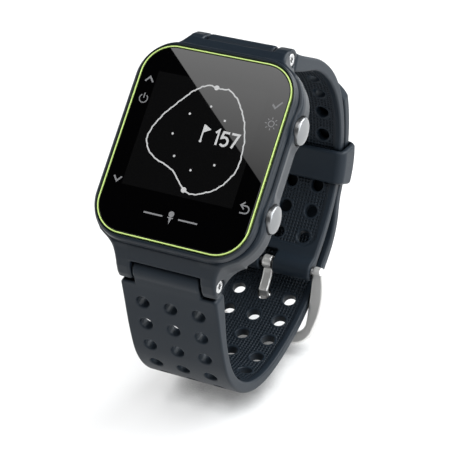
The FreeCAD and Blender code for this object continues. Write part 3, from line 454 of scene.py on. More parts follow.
M = {
    "shell": material("case_slate", (0.0064, 0.0106, 0.0160), 0.38, vary=0.06, grain=5200, bump=0.08, spec=0.27),
    # the strap rubber is darkened in its holes and dimples as painted shade
    "rubber": material("strap_slate", (0.0074, 0.0122, 0.0182), 0.48, vary=0.07, grain=4200, bump=0.14, spec=0.24, cavity=0.0018),
    "bezel": material("bezel_slate", (0.0052, 0.0090, 0.0142), 0.32, vary=0.05, grain=5200, bump=0.06, spec=0.30),
    "lime": material("lime_line", (0.43, 0.57, 0.17), 0.45, vary=0.03, grain=4000, bump=0.04),
    "lens": material("lens_black", (0.0003, 0.0003, 0.0004), 0.008, vary=0.02, rvary=0.002, grain=900, bump=0.0, ior=1.42),
    "window": material("window_black", (0.0022, 0.0022, 0.0023), 0.010, vary=0.02, rvary=0.002, grain=900, bump=0.0, ior=1.42),
    "print": material("print_grey", (0.36, 0.36, 0.36), 0.45, vary=0.03, grain=3000, bump=0.03),
    "print_dim": material("print_dim", (0.15, 0.15, 0.155), 0.45, vary=0.03, grain=3000, bump=0.03),
    "print_icon": material("print_icon", (0.135, 0.135, 0.14), 0.45, vary=0.03, grain=3000, bump=0.03),
    "button": material("button_satin", (0.26, 0.265, 0.27), 0.34, metal=1.0, vary=0.04, rvary=0.06, grain=3800, bump=0.05),
    "steel": material("buckle_brushed", (0.72, 0.71, 0.69), 0.40, metal=0.78, vary=0.05, rvary=0.08, bump=0.10,
                      streak=(260.0, 9000.0, 9000.0)),
    "screw": material("screw_bright", (0.58, 0.58, 0.58), 0.26, metal=1.0, vary=0.03, grain=5000, bump=0.04),
    "clip": material("clip_steel", (0.50, 0.50, 0.50), 0.35, metal=1.0, grain=3000, bump=0.1),
    "spring": material("spring_steel", (0.55, 0.54, 0.52), 0.28, metal=1.0, grain=5000, bump=0.05),
    "cover": material("back_cover_slate", (0.010, 0.014, 0.019), 0.48, vary=0.08, grain=4200, bump=0.12),
    "glue": material("adhesive_black", (0.008, 0.008, 0.009), 0.6, grain=1500, bump=0.2),
    "seal": material("seal_black", (0.010, 0.010, 0.011), 0.62, grain=2500, bump=0.2),
    "panel": material("display_glass", (0.010, 0.011, 0.012), 0.15, grain=2000, bump=0.03),
    "tray": material("tray_white", (0.55, 0.55, 0.53), 0.5, grain=2500, bump=0.1),
    "flex": material("flex_amber", (0.42, 0.20, 0.05), 0.38, vary=0.2, grain=2600, bump=0.1),
    "connector": material("connector_tan", (0.50, 0.42, 0.30), 0.5, grain=3000, bump=0.1),
    "board": material("board_green", (0.012, 0.085, 0.035), 0.42, vary=0.35, grain=1800, bump=0.18),
    "switch": material("switch_body", (0.05, 0.05, 0.055), 0.45, grain=2600, bump=0.12),
    "battery": material("battery_foil", (0.52, 0.53, 0.55), 0.36, metal=0.75, vary=0.08, grain=1500, bump=0.25),
    "ceramic": material("antenna_ceramic", (0.62, 0.57, 0.47), 0.5, grain=2200, bump=0.12),
    "motor": material("motor_can", (0.60, 0.60, 0.61), 0.25, metal=1.0, grain=3000, bump=0.06,
                      streak=(400.0, 6000.0, 6000.0)),
    "tungsten": material("tungsten", (0.30, 0.30, 0.31), 0.35, metal=1.0, grain=2600, bump=0.15),
    "gold": material("contact_gold", (0.83, 0.60, 0.22), 0.25, metal=1.0, grain=3600, bump=0.05),
}

SLOT_OF = {}


def dress(o, mat):
    o.data.materials.clear()
    o.data.materials.append(M[mat])
    return o


def piece(name, PF, mat, body, stands_for=(), sharp=None):
    o = build(name, PF[0], PF[1], sharp)
    dress(o, mat)
    if stands_for:
        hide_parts(*stands_for)
    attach(o, body)
    return o


# CAD nodes that stay as they are, with procedural finishes
for node, mat in {
    "back_cover": "cover", "back_screws": "screw", "back_seal": "seal", "battery": "battery",
    "battery_tabs": "clip", "board_screws": "screw", "buckle_spring_bar": "clip", "button_orings": "seal",
    "button_up_clip": "clip", "button_down_clip": "clip", "button_ok_clip": "clip", "button_back_clip": "clip",
    "charging_contacts": "gold", "display_flex": "flex", "display_panel": "panel", "display_tray": "tray",
    "flex_connector": "connector", "gps_antenna": "ceramic", "inner_chassis": "tray", "lens_adhesive": "glue",
    "lug_tube_12": "clip", "lug_tube_6": "clip", "main_board": "board", "motor_can": "motor",
    "motor_shaft": "clip", "motor_weight": "tungsten", "side_switches": "switch",
}.items():
    dress(frame["nodes"][node], mat)


# ---------------------------------------------------------------------------
# mid case
# ---------------------------------------------------------------------------
lug_field = Sampled(lambda y, z: polygon(y, z, LUG_PROFILE), (12, -13), (31, 0.5), 0.06)
apron_field = Sampled(lambda y, z: polygon(y, z, APRON), (12, -13), (31, 0.5), 0.06)


def case_field(x, y, z):
    X, Y = np.abs(x), np.abs(y)
    zz = np.clip(z, -9.2, -2.3)
    # the wall is waisted between the buttons, full beside them, and ends in a narrow shoulder under the bezel
    t = np.clip((Y - 4.4) / 3.2, 0, 1)
    t = t * t * (3 - 2 * t)
    lo = sum(np.interp(zz + e, CASE_Z, WAIST_HW) for e in (-0.2, 0, 0.2)) / 3
    hi = sum(np.interp(zz + e, CASE_Z, FULL_HW) for e in (-0.2, 0, 0.2)) / 3
    hw = lo + (hi - lo) * t
    hh, r = np.interp(zz, CASE_Z, CASE_HH), np.interp(zz, CASE_Z, CASE_R) + 0.35
    d = rrect(x, y, hw, hh, r) * 0.95
    dy, dz = Y - BTN_Y, z - BTN_Z
    rho = np.hypot(dy, dz)
    brow = 0.5 + 0.5 * np.cos(np.pi * np.clip(dy / 5.2, -1, 1))
    d = smax(d, z + 2.30 - 0.62 * brow * np.clip((X - 17.6) / 0.4, 0, 1), 0.45)
    d = smax(d, -9.20 - z, 0.30)
    # lugs: prong and curved web
    near = (Y > 15.0) & (X > 5.0)
    if near.any():
        xn, yn, zn = X[near], Y[near], z[near]
        lp = lug_field(yn, zn)
        circ = 6.536 - np.hypot(xn - 18.02, yn - 26.18)
        side = np.where(yn < 26.18, np.minimum(xn - 11.5, np.maximum(circ, xn - 15.6)), xn - 11.5)
        side = np.maximum(side, 8.0 - xn)
        lug = rmax(lp, side, 0.75)
        d[near] = smin(d[near], lug, 0.9)
    near = Y > 15.0
    xn, yn, zn = X[near], Y[near], z[near]
    ap = rmax(apron_field(yn, zn), xn - 8.6, 0.3)
    dn = smin(d[near], ap, 0.25)
    ch = rmax(rmax(xn - 8.0, zn + 5.60, 0.25), 22.25 - yn, 0.25)
    dn = smax(dn, -ch, 0.25)
    rl = np.hypot(yn - LUG_Y, zn - LUG_Z)
    dn = smax(dn, -np.maximum(rl - 1.53, 10.45 - xn), 0.22)
    dn = np.maximum(dn, -(rl - 0.92))
    d[near] = dn
    # cavity, pocket, bore and screw clearances
    d = np.maximum(d, -rrect(x, y, 15.4, 18.9, 8.0))
    d = np.maximum(d, -np.maximum(rrect(x, y, 15.1, 18.4, 2.5), -3.4 - z))
    d = smax(d, -np.maximum(rho - 3.16, 16.92 - X), 0.22)
    d = np.maximum(d, -np.maximum(np.maximum(rho - 0.98, 13.8 - X), X - 18.2))
    rb = np.hypot(X - 14.3, Y - 17.8)
    d = np.maximum(d, -np.maximum(rb - 1.28, z + 10.0))
    d = np.maximum(d, -np.maximum(rb - 0.60, z + 6.3))
    return d


P, F = nets(case_field, (-20.4, -28.6, -11.3), (20.4, 28.6, -0.3), 0.235)
piece("case_skin", (P, F), "shell", "watch", ["case_shell"])

# ---------------------------------------------------------------------------
# bezel, lime line, lens
# ---------------------------------------------------------------------------
BZ = [(-2.25, 18.02, 21.97, 8.67), (-1.92, 18.34, 22.24, 8.92), (-0.40, 18.14, 22.04, 8.74),
      (-0.02, 17.78, 21.68, 8.38), (-0.04, 17.60, 21.33, 7.26), (-0.42, 17.34, 21.065, 6.995),
      (-1.25, 17.33, 21.055, 6.985), (-1.25, 15.60, 19.30, 5.20), (-2.25, 15.60, 19.30, 5.20)]
P, F = loft(eased(BZ, [0.08, 0.12, 0.14, 0.14, 0.08, 0.10, 0, 0, 0.05]), True, n_arc=24)
F = [tuple(reversed(f)) for f in F]
piece("bezel_skin", (P, F), "bezel", "watch", ["bezel"], sharp=42)

RG = [(-0.90, 17.16, 20.885, 6.815), (0.01, 17.16, 20.885, 6.815), (0.01, 16.90, 20.625, 6.555),
      (-0.90, 16.90, 20.625, 6.555)]
P, F = loft(eased(RG, [0.03, 0.09, 0.09, 0.03]), True, n_arc=24)
F = [tuple(reversed(f)) for f in F]
piece("lime_line_skin", (P, F), "lime", "watch", ["accent_ring"], sharp=50)

w, h, r = LENS
LN = [(-1.10, w - 0.10, h - 0.10, r - 0.10), (-1.02, w, h, r), (-0.14, w, h, r)]
LN += [(-0.14 + 0.14 * math.sin(t), w - 0.14 * (1 - math.cos(t)), h - 0.14 * (1 - math.cos(t)), r - 0.14 * (1 - math.cos(t)))
       for t in (0.35, 0.75, 1.15, math.pi / 2)]
P, F = loft(LN, False, n_arc=24)
piece("lens_skin", (P, F), "lens", "watch", ["lens"], sharp=12)

# ---------------------------------------------------------------------------
# printed and displayed marks: thin plates lying on the lens
# ---------------------------------------------------------------------------
def plate(pts, z0, z1):
    """Flat plate from a simple outline."""
    pts = [tuple(p) for p in pts]
    area = sum(a[0] * b[1] - b[0] * a[1] for a, b in zip(pts, pts[1:] + pts[:1]))
    if area < 0:
        pts = pts[::-1]
    n = len(pts)
    P = [(x, y, z0) for x, y in pts] + [(x, y, z1) for x, y in pts]
    F = [tuple(range(n - 1, -1, -1)), tuple(range(n, 2 * n))]
    F += [(i, (i + 1) % n, n + (i + 1) % n, n + i) for i in range(n)]
    return np.array(P), F


def stroke(pts, wd, z0, z1, closed=False):
    """Ribbon along a line of points."""
    pts = [np.array(p, float) for p in pts]
    n = len(pts)
    lft, rgt = [], []
    for i in range(n):
        a = pts[i - 1] if (i > 0 or closed) else pts[i]
        b = pts[(i + 1) % n] if (i < n - 1 or closed) else pts[i]
        d1, d2 = pts[i] - a, b - pts[i]
        d1 = d1 / np.linalg.norm(d1) if np.linalg.norm(d1) > 1e-9 else d2 / np.linalg.norm(d2)
        d2 = d2 / np.linalg.norm(d2) if np.linalg.norm(d2) > 1e-9 else d1
        nn = np.array([-(d1 + d2)[1], (d1 + d2)[0]])
        nn /= np.linalg.norm(nn)
        k = 1 / max(0.5, nn @ np.array([-d1[1], d1[0]]))
        lft.append(pts[i] + nn * wd / 2 * k)
        rgt.append(pts[i] - nn * wd / 2 * k)
    P = [(*p, z) for p in lft for z in (z0, z1)] + [(*p, z) for p in rgt for z in (z0, z1)]
    o = 2 * n
    F = []
    for i in range(n if closed else n - 1):
        j = (i + 1) % n
        F += [(2 * i + 1, o + 2 * i + 1, o + 2 * j + 1, 2 * j + 1), (2 * i, 2 * j, o + 2 * j, o + 2 * i),
              (2 * i, 2 * i + 1, 2 * j + 1, 2 * j), (o + 2 * i, o + 2 * j, o + 2 * j + 1, o + 2 * i + 1)]
    if not closed:
        F += [(0, o, o + 1, 1), (2 * n - 2, 2 * n - 1, o + 2 * n - 1, o + 2 * n - 2)]
    return np.array(P), F


def disc(cx, cy, rad, z0, z1, n=20):
    return plate([(cx + rad * math.cos(2 * math.pi * i / n), cy + rad * math.sin(2 * math.pi * i / n))
                  for i in range(n)], z0, z1)


def arc_pts(cx, cy, rad, a0, a1, n=16):
    return [(cx + rad * math.cos(math.radians(a0 + (a1 - a0) * i / n)),
             cy + rad * math.sin(math.radians(a0 + (a1 - a0) * i / n))) for i in range(n + 1)]


def smooth_loop(ctrl, per=7):
    out, n = [], len(ctrl)
    for i in range(n):
        p0, p1, p2, p3 = [np.array(ctrl[(i + k) % n], float) for k in (-1, 0, 1, 2)]
        for j in range(per):
            t = j / per
            out.append(0.5 * (2 * p1 + (p2 - p0) * t + (2 * p0 - 5 * p1 + 4 * p2 - p3) * t * t
                              + (3 * p1 - p0 - 3 * p2 + p3) * t ** 3))
    return out


Z0, Z1 = 0.004, 0.014
win = [(x - 0.35, y + 2.05) for x, y in [(-12.65, -12.65), (12.55, -12.65), (12.55, 12.65), (-12.65, 12.65)]]
piece("display_window", plate(win, 0.0005, 0.003), "window", "watch", sharp=30)

GREEN = [(-0.8, 13.8), (1.6, 13.5), (3.9, 13.5), (6.2, 11.8), (7.8, 9.6), (9.0, 7.5), (10.2, 4.0), (10.7, 0.4),
         (10.6, -2.6), (9.4, -5.2), (7.6, -7.4), (5.2, -8.8), (2.6, -9.6), (0.8, -8.9), (-0.8, -7.6), (-2.6, -5.8),
         (-4.9, -4.7), (-7.6, -3.8), (-9.8, -2.1), (-10.8, 0.3), (-10.1, 3.2), (-8.6, 6.1), (-6.4, 9.0), (-4.4, 11.5),
         (-2.7, 12.9)]
green = smooth_loop(GREEN, 5)
green = [p * (1 + 0.006 * math.sin(2.3 * i) + 0.004 * math.sin(5.1 * i)) for i, p in enumerate(green)]
marks = [stroke(green, 0.30, Z0, Z1, True)]
marks += [disc(x, y, 0.25, Z0, Z1) for x, y in
          [(0.9, 9.4), (-3.2, 7.0), (4.8, 7.0), (-5.5, 2.1), (-3.6, -2.5), (5.6, -2.6), (0.9, -4.7)]]
piece("green_outline", joined(marks), "print", "watch", sharp=30)
piece("tee_and_cup_spots", joined([disc(0.8, 13.55, 0.55, Z1 + 0.001, Z1 + 0.008), disc(0.8, -9.05, 0.60, Z1 + 0.001, Z1 + 0.008)]),
      "print", "watch", sharp=30)
flag = [stroke([(0.92, 1.7), (0.92, 5.35)], 0.34, Z0, Z1), plate([(0.8, 5.5), (0.85, 3.55), (2.6, 4.6)], Z0, Z1 - 0.002),
        disc(0.92, 1.75, 0.28, Z0, Z1 + 0.002)]
piece("flag_mark", joined(flag), "print", "watch", sharp=30)


def digits(x0, y0, hgt, wid, thick):
    """The figures 1, 5 and 7 from straight and round strokes."""
    z0, z1, out = Z0, Z1, []
    out.append(stroke([(x0 + 0.02, y0 + hgt * 0.78), (x0 + wid * 0.34, y0 + hgt), (x0 + wid * 0.34, y0)], thick, z0, z1))
    x = x0 + wid * 0.78
    five = [(x + wid * 0.86, y0 + hgt - thick / 2), (x + wid * 0.14, y0 + hgt - thick / 2), (x + wid * 0.06, y0 + hgt * 0.54)]
    five += [(x + wid * 0.42 + wid * 0.44 * math.cos(math.radians(a)), y0 + hgt * 0.32 + hgt * 0.28 * math.sin(math.radians(a)))
             for a in range(112, -150, -18)]
    out.append(stroke(five, thick, z0, z1))
    x = x0 + wid * 1.9
    out.append(stroke([(x, y0 + hgt - thick / 2), (x + wid * 0.88, y0 + hgt - thick / 2), (x + wid * 0.34, y0)], thick, z0, z1))
    return joined(out)


piece("distance_figures", digits(3.75, 1.62, 3.25, 1.86, 0.50), "print", "watch", sharp=30)

icons = []
icons += [stroke(arc_pts(-14.45, 8.2, 0.92, 125, 415), 0.22, Z0, Z1), stroke([(-14.45, 8.3), (-14.45, 9.45)], 0.24, Z0, Z1)]
icons += [stroke([(-15.35, 12.0), (-14.45, 13.1), (-13.55, 12.0)], 0.36, Z0, Z1)]
icons += [stroke([(-15.2, -9.2), (-14.3, -10.3), (-13.4, -9.2)], 0.36, Z0, Z1)]
icons += [stroke(arc_pts(14.75, 8.4, 0.62, 0, 345, 20), 0.20, Z0, Z1, True)]
icons += [stroke([(14.75 + 0.98 * math.cos(a), 8.4 + 0.98 * math.sin(a)), (14.75 + 1.38 * math.cos(a), 8.4 + 1.38 * math.sin(a))],
                 0.20, Z0, Z1) for a in [math.pi / 4 * i for i in range(8)]]
icons += [stroke([(13.8, 12.5), (14.5, 11.75), (15.75, 13.3)], 0.36, Z0, Z1)]
icons += [stroke([(13.95, -11.0), (15.0, -11.0)] + arc_pts(15.0, -10.2, 0.8, -90, 90, 10) + [(14.05, -9.4)], 0.30, Z0, Z1),
          stroke([(14.65, -10.15), (13.85, -9.4), (14.65, -8.65)], 0.30, Z0, Z1 + 0.001)]
piece("button_icons", joined(icons), "print_icon", "watch", sharp=30)
crest = [disc(-0.1, -14.55, 0.62, Z0, Z1, 28), stroke([(-0.72, -15.35), (0.52, -15.35)], 0.26, Z0, Z1),
         plate([(-0.42, -15.5), (0.22, -15.5), (-0.1, -16.7)], Z0, Z1 - 0.001),
         stroke([(-6.2, -15.35), (-1.9, -15.35)], 0.34, Z0, Z1), stroke([(1.7, -15.35), (6.0, -15.35)], 0.34, Z0, Z1)]
piece("plain_crest", joined(crest), "print_dim", "watch", sharp=30)

# ---------------------------------------------------------------------------
# push buttons, their springs, lug screws
# ---------------------------------------------------------------------------
cap = [(14.05, 0), (14.05, 0.80), (14.15, 0.90), (15.10, 0.90), (15.10, 0.62), (15.35, 0.62), (15.35, 0.90), (17.76, 0.90),
       (17.76, 1.35), (19.00, 1.35), (19.00, 2.45), (17.76, 2.45), (17.76, 2.92), (17.84, 3.00)]


def cap_mesh(top):
    """Push button with a domed head whose crown stands at the given distance from the middle."""
    rim = top - 0.95
    q = cap + [(rim, 3.00)]
    q += [(rim + 0.52 * math.sin(t), 3.00 - 0.52 * (1 - math.cos(t))) for t in (0.25, 0.5, 0.75, 1.0, 1.2)]
    a, b = q[-1]
    q += [(a + (top - a) * (1 - (k / b) ** 2), k) for k in (2.62, 2.4, 2.1, 1.8, 1.4, 1.0, 0.6, 0.25, 0.0)]
    P, F = lathe(q)
    return P, [tuple(reversed(f)) for f in F]


def helix(turns=2.5, rad=1.90, wire=0.15, height=1.60, steps=90, sides=10):
    P, F = [], []
    pitch = height / turns
    for i in range(steps + 1):
        a = 2 * math.pi * turns * i / steps
        t = np.array([pitch / 2 / math.pi, -rad * math.sin(a), rad * math.cos(a)])
        t /= np.linalg.norm(t)
        er = np.array([0, math.cos(a), math.sin(a)])
        eb = np.cross(t, er)
        c = np.array([height * i / steps, rad * math.cos(a), rad * math.sin(a)])
        P += [c + wire * (math.cos(b) * er + math.sin(b) * eb) for b in [2 * math.pi * k / sides for k in range(sides)]]
    for i in range(steps):
        for k in range(sides):
            a, b = i * sides + k, i * sides + (k + 1) % sides
            F.append((a, b, b + sides, a + sides))
    F += [tuple(range(sides - 1, -1, -1)), tuple(steps * sides + k for k in range(sides))]
    return np.array(P), F


HP, HF = helix()
for name, sx, sy in (("up", -1, 1), ("down", -1, -1), ("ok", 1, 1), ("back", 1, -1)):
    P, F = mirrored(*cap_mesh(20.50 if sx > 0 else 19.70), sx)
    P = P + [0, sy * BTN_Y, BTN_Z]
    piece("cap_" + name, (P, F), "button", "button_" + name, ["button_" + name], sharp=30)
    P, F = mirrored(HP + [17.19, 0, 0], HF, sx)
    P = P + [0, sy * BTN_Y, BTN_Z]
    o = piece("coil_" + name, (P, F), "spring", "watch", ["button_%s_spring" % name])
    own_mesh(o)


def screw_field(x, y, z):
    rho, th = np.hypot(y, z), np.arctan2(z, y)
    head = rmax(rho - 1.45, np.abs(x - 10.975) - 0.475, 0.16)
    d = np.minimum(head, np.maximum(rho - 0.85, np.abs(x - 9.4) - 1.3))
    d = np.minimum(d, np.maximum(rho - 0.70, np.abs(x - 6.5) - 1.9))
    star = rho - (0.66 + 0.15 * np.cos(6 * th))
    return smax(d, -np.maximum(star, 10.62 - x), 0.10)


SP, SF = nets(screw_field, (4.4, -1.7, -1.7), (11.7, 1.7, 1.7), (0.09, 0.07, 0.07))
heads = []
for sy in (1, -1):
    for sx in (1, -1):
        P, F = mirrored(SP, SF, sx)
        heads.append((P + [0, sy * LUG_Y, LUG_Z], F))
big_p = np.concatenate([p for p, f in heads])
big_f = np.concatenate([f + i * len(SP) for i, (p, f) in enumerate(heads)])
piece("lug_screw_heads", (big_p, big_f), "screw", "watch", ["lug_screws"])

# ---------------------------------------------------------------------------
# strap halves, drawn flat as (distance along, width, offset) and then bent
# ---------------------------------------------------------------------------
ROOT_S = np.array([-3.0, 0.0, 1.6, 3.1, 6.0, 9.5, 13.5, 18.0, 400.0])
ROOT_O = np.array([2.10, 2.10, 2.00, 1.65, 1.38, 1.22, 1.24, 1.30, 1.30])
ROOT_I = np.array([2.10, 2.10, 2.15, 2.30, 2.32, 2.12, 1.66, 1.30, 1.30])


def soft_interp(s, xs, ys, e=1.3):
    return sum(np.interp(s + k * e, xs, ys) for k in (-1, -0.5, 0, 0.5, 1)) / 5


def strap_field(s, x, w, from_lug, length, rows, panel, tip, notch_at=None, eye_at=None):
    """Field of a strap half. from_lug turns s into the distance from the lug."""
    g = from_lug(s)
    o, i = soft_interp(g, ROOT_S, ROOT_O), soft_interp(g, ROOT_S, ROOT_I)
    prof = np.maximum(np.maximum(w - o, -w - i), -0.2 - g)
    prof = smin(prof, np.hypot(g, w) - 2.35, 0.3)
    if eye_at is not None:
        prof = np.maximum(prof, s - eye_at)
        prof = smin(prof, np.hypot(s - eye_at, w) - 2.30, 1.6)
    wide = rmax(np.abs(x) - STRAP_HW, 3.15 - g, 1.1)
    plan = smin(wide, np.abs(x) - TAB_HW, 0.35)
    if tip is not None:
        plan = np.where(s < tip, np.maximum(plan, np.hypot(s - tip, x) - tip), plan)
    d = rmax(plan, prof, 0.52)
    # recessed grip panel with rows of small square dimples on the wrist side
    mid, half = 0.5 * (panel[0] + panel[1]), 0.5 * (panel[1] - panel[0])
    pan = rrect(s - mid, x, half, 9.75, 3.3)
    depth = w + i
    d = smax(d, -smax(pan, depth - 0.30, 0.14), 0.10)
    ds = np.min(np.abs(s[:, None] - np.asarray(rows)[None, :]), axis=1) if len(s) < 400000 else near_row(s, rows)
    dx = np.minimum(np.abs(x), np.abs(np.abs(x) - HOLE_X))
    hole = np.hypot(ds, dx) - HOLE_R
    u = (s / 0.8 - np.floor(s / 0.8) - 0.5) * 0.8
    v = (x / 0.8 - np.floor(x / 0.8) - 0.5) * 0.8
    dim = smax(np.maximum(np.abs(u), np.abs(v)) - 0.25, depth - 0.54, 0.1)
    dim = np.maximum(dim, np.maximum(pan + 0.55, 0.55 - hole))
    d = smax(d, -dim, 0.1)
    d = rmax(d, -hole, 0.30)
    d = np.maximum(d, -(np.hypot(g, w) - 1.16))
    if eye_at is not None:
        d = np.maximum(d, -(np.hypot(s - eye_at, w) - 0.86))
        d = rmax(d, -rmax(np.abs(x) - 1.80, (eye_at - 3.3) - s, 0.6), 0.3)
    return d


def near_row(s, rows):
    rows = np.sort(np.asarray(rows))
    j = np.clip(np.searchsorted(rows, s), 1, len(rows) - 1)
    return np.minimum(np.abs(s - rows[j - 1]), np.abs(s - rows[j]))


def strap_mesh(path, field, s0, s1):
    s0 = math.floor(s0 / 0.2) * 0.2
    P, F = nets(field, (s0, -11.6, -2.88), (s1, 11.6, 2.88), (0.2, 0.2, 0.18))
    y, z = path.bend(P[:, 0], P[:, 2])
    # (s, x, w) to (x, y, z) keeps faces outward because the path runs with its outer side on the left
    return np.stack([P[:, 1], y, z], 1), F


UP_ROWS = [74.6, 68.1, 61.6, 55.1, 48.6, 42.1, 35.6, 29.1, 22.6]
U_END = upper.length
up_field = lambda s, x, w: strap_field(s, x, w, lambda q: q, U_END, UP_ROWS, (15.5, U_END - 5.2), None, eye_at=U_END)
piece("strap_upper_skin", strap_mesh(upper, up_field, -2.8, U_END + 2.8), "rubber", "watch", ["strap_upper"])

L_END = lower.length
LO_ROWS = [L_END - q for q in [8.43, 14.6, 21.0, 27.5, 34.2, 41.0, 47.75, 54.3, 60.85, 67.4, 73.95, 87.0, 93.5]]
LO_ROWS += [(q - TAIL_TIP) * LAID for q in (59.0, 52.5, 46.0)]
lo_field = lambda s, x, w: strap_field(s, x, w, lambda q: L_END - q, L_END, LO_ROWS, (TAIL_LEN + 12.0, L_END - 11.0), 11.9)
piece("strap_lower_skin", strap_mesh(lower, lo_field, -0.4, L_END + 2.8), "rubber", "watch", ["strap_lower"])


# keeper loop, drawn flat round both layers and bent with them
def keeper_field(s, x, w):
    crown = 0.14 * (1 - (s / 4.3) ** 2)
    out = rrect(x, w - 1.55, 12.95 - 0.14 + crown, 4.55 - 0.14 + crown, 2.3)
    inn = rrect(x, w - 1.55, 11.35, 2.95, 0.35)
    return rmax(rmax(out, -inn, 0.25), np.abs(s) - 4.3, 0.74)


P, F = nets(keeper_field, (-4.7, -13.4, -3.5), (4.7, 13.4, 6.6), 0.17)
y, z = upper.bend(56.0 + P[:, 0], P[:, 2])
piece("keeper_skin", (np.stack([P[:, 1], y, z], 1), F), "rubber", "keeper", ["keeper_loop"])


# ---------------------------------------------------------------------------
# buckle frame and tang
# ---------------------------------------------------------------------------
def arc3(a, m, b, n=14):
    a, m, b = [np.array(q, float) for q in (a, m, b)]
    A = np.array([m - a, b - a]) * 2
    rhs = np.array([m @ m - a @ a, b @ b - a @ a])
    c = np.linalg.solve(A, rhs)
    R = np.linalg.norm(a - c)
    ta, tm, tb = [math.atan2(*(q - c)[::-1]) for q in (a, m, b)]
    span = (tb - ta) % (2 * math.pi)
    if (tm - ta) % (2 * math.pi) > span:
        span -= 2 * math.pi
    return [tuple(c + R * np.array([math.cos(ta + span * i / n), math.sin(ta + span * i / n)])) for i in range(n)]


def flip(q):
    return (-q[0], q[1])


o1, o2, o3, o4, o5 = (13.6, -1.9), (14.75, 6.0), (13.5, 14.0), (11.5, 17.2), (7.8, 18.1)
i1, i2, i3, i4, i5 = (11.60, -3.0), (11.50, 6.0), (11.45, 12.4), (10.4, 14.8), (7.5, 15.4)
OUT = arc3(o1, o2, o3) + arc3(o3, o4, o5) + arc3(o5, (0, 18.6), flip(o5)) + arc3(flip(o5), flip(o4), flip(o3)) + \
    arc3(flip(o3), flip(o2), flip(o1)) + [flip(o1)]
INN = arc3(i1, i2, i3) + arc3(i3, i4, i5) + arc3(i5, (0, 15.8), flip(i5)) + arc3(flip(i5), flip(i4), flip(i3)) + \
    arc3(flip(i3), flip(i2), flip(i1)) + [flip(i1)]
frame_plan = Sampled(lambda x, u: smax(polygon(x, u, OUT), -polygon(x, u, INN), 0.35), (-15.5, -4.0), (15.5, 20.0), 0.08)


def quad3(u, pts):
    (a, fa), (b, fb), (c, fc) = pts
    return fa * (u - b) * (u - c) / ((a - b) * (a - c)) + fb * (u - a) * (u - c) / ((b - a) * (b - c)) + \
        fc * (u - a) * (u - b) / ((c - a) * (c - b))


def buckle_field(x, u, w):
    top = quad3(u, [(-1.9, 1.35), (8.5, -0.25), (19.2, 1.05)])
    bot = quad3(u, [(-1.9, -1.45), (8.5, -3.55), (19.2, -1.65)])
    band = np.maximum(w - top, bot - w)
    eye = np.where(u < 0.2, np.hypot(u - 0.2, w) - 1.62, band)
    band = np.where(u < 1.6, smin(eye, band, 0.3) * 0 + np.maximum(eye, -9), band)
    d = rmax(frame_plan(x, u), band, 0.55)
    hole = np.maximum(np.hypot(u, w) - 0.5, np.abs(np.abs(x) - 12.1) - 1.15)
    return np.maximum(d, -hole)


ang = math.atan2(-7.2, -14.9)
fu = np.array([math.cos(ang), math.sin(ang)])
fn = np.array([math.sin(ang), -math.cos(ang)])
if fn[1] < 0:
    fn = -fn
P, F = nets(buckle_field, (-15.0, -2.7, -4.6), (15.0, 19.6, 2.2), 0.17)
yz = np.array([BAR_Y, BAR_Z]) + P[:, 1:2] * fu + P[:, 2:3] * fn
Q = np.stack([P[:, 0], yz[:, 0], yz[:, 1]], 1)
if fu[0] * fn[1] - fu[1] * fn[0] < 0:
    F = F[:, ::-1]
piece("buckle_frame_skin", (Q, F), "steel", "buckle_frame", ["buckle_frame"])

a_in = np.array([-14.938, -65.709])
hole_n = np.array([0.346, 0.938])
q_in, q_out = a_in + hole_n * 1.55, a_in - hole_n * 1.45
rail = np.array([BAR_Y, BAR_Z]) + fu * 17.05 - fn * 2.62
TANG = [(BAR_Y - 0.35, BAR_Z - 1.05), (-10.2, -63.35), (q_in[0] + 0.55, q_in[1] + 0.45), (q_in[0] - 0.25, q_in[1] - 0.75),
        (q_out[0], q_out[1]), (q_out[0] - 1.15, q_out[1] - 1.75), (rail[0] + 1.2, rail[1] - 1.35), (rail[0] - 1.6, rail[1] - 1.75)]


def tang_line(y, z):
    d = np.full(y.shape, 1e9)
    for (ay, az), (by, bz) in zip(TANG, TANG[1:]):
        ey, ez = by - ay, bz - az
        t = np.clip(((y - ay) * ey + (z - az) * ez) / (ey * ey + ez * ez), 0, 1)
        d = smin(d, np.hypot(y - ay - ey * t, z - az - ez * t), 0.25)
    d = d - 0.50
    d = smin(d, np.hypot(y - BAR_Y, z - BAR_Z) - 1.60, 0.5)
    return np.maximum(d, -(np.hypot(y - BAR_Y, z - BAR_Z) - 0.80))


tang_plan = Sampled(tang_line, (-29.0, -77.0), (-3.5, -57.0), 0.05)


def tang_field(x, y, z):
    return rmax(tang_plan(y, z), np.abs(x) - 1.15, 0.42)


ty = [p[0] for p in TANG]
tz = [p[1] for p in TANG]
P, F = nets(tang_field, (-1.4, min(ty) - 1.2, min(tz) - 1.2), (1.4, BAR_Y + 2.0, BAR_Z + 2.0), 0.11)
piece("buckle_tang_skin", (P, F), "steel", "buckle_tang", ["buckle_tang"])

# ---------------------------------------------------------------------------
# floor, light, camera
# ---------------------------------------------------------------------------
scene = bpy.context.scene
scene.view_settings.view_transform = "Standard"
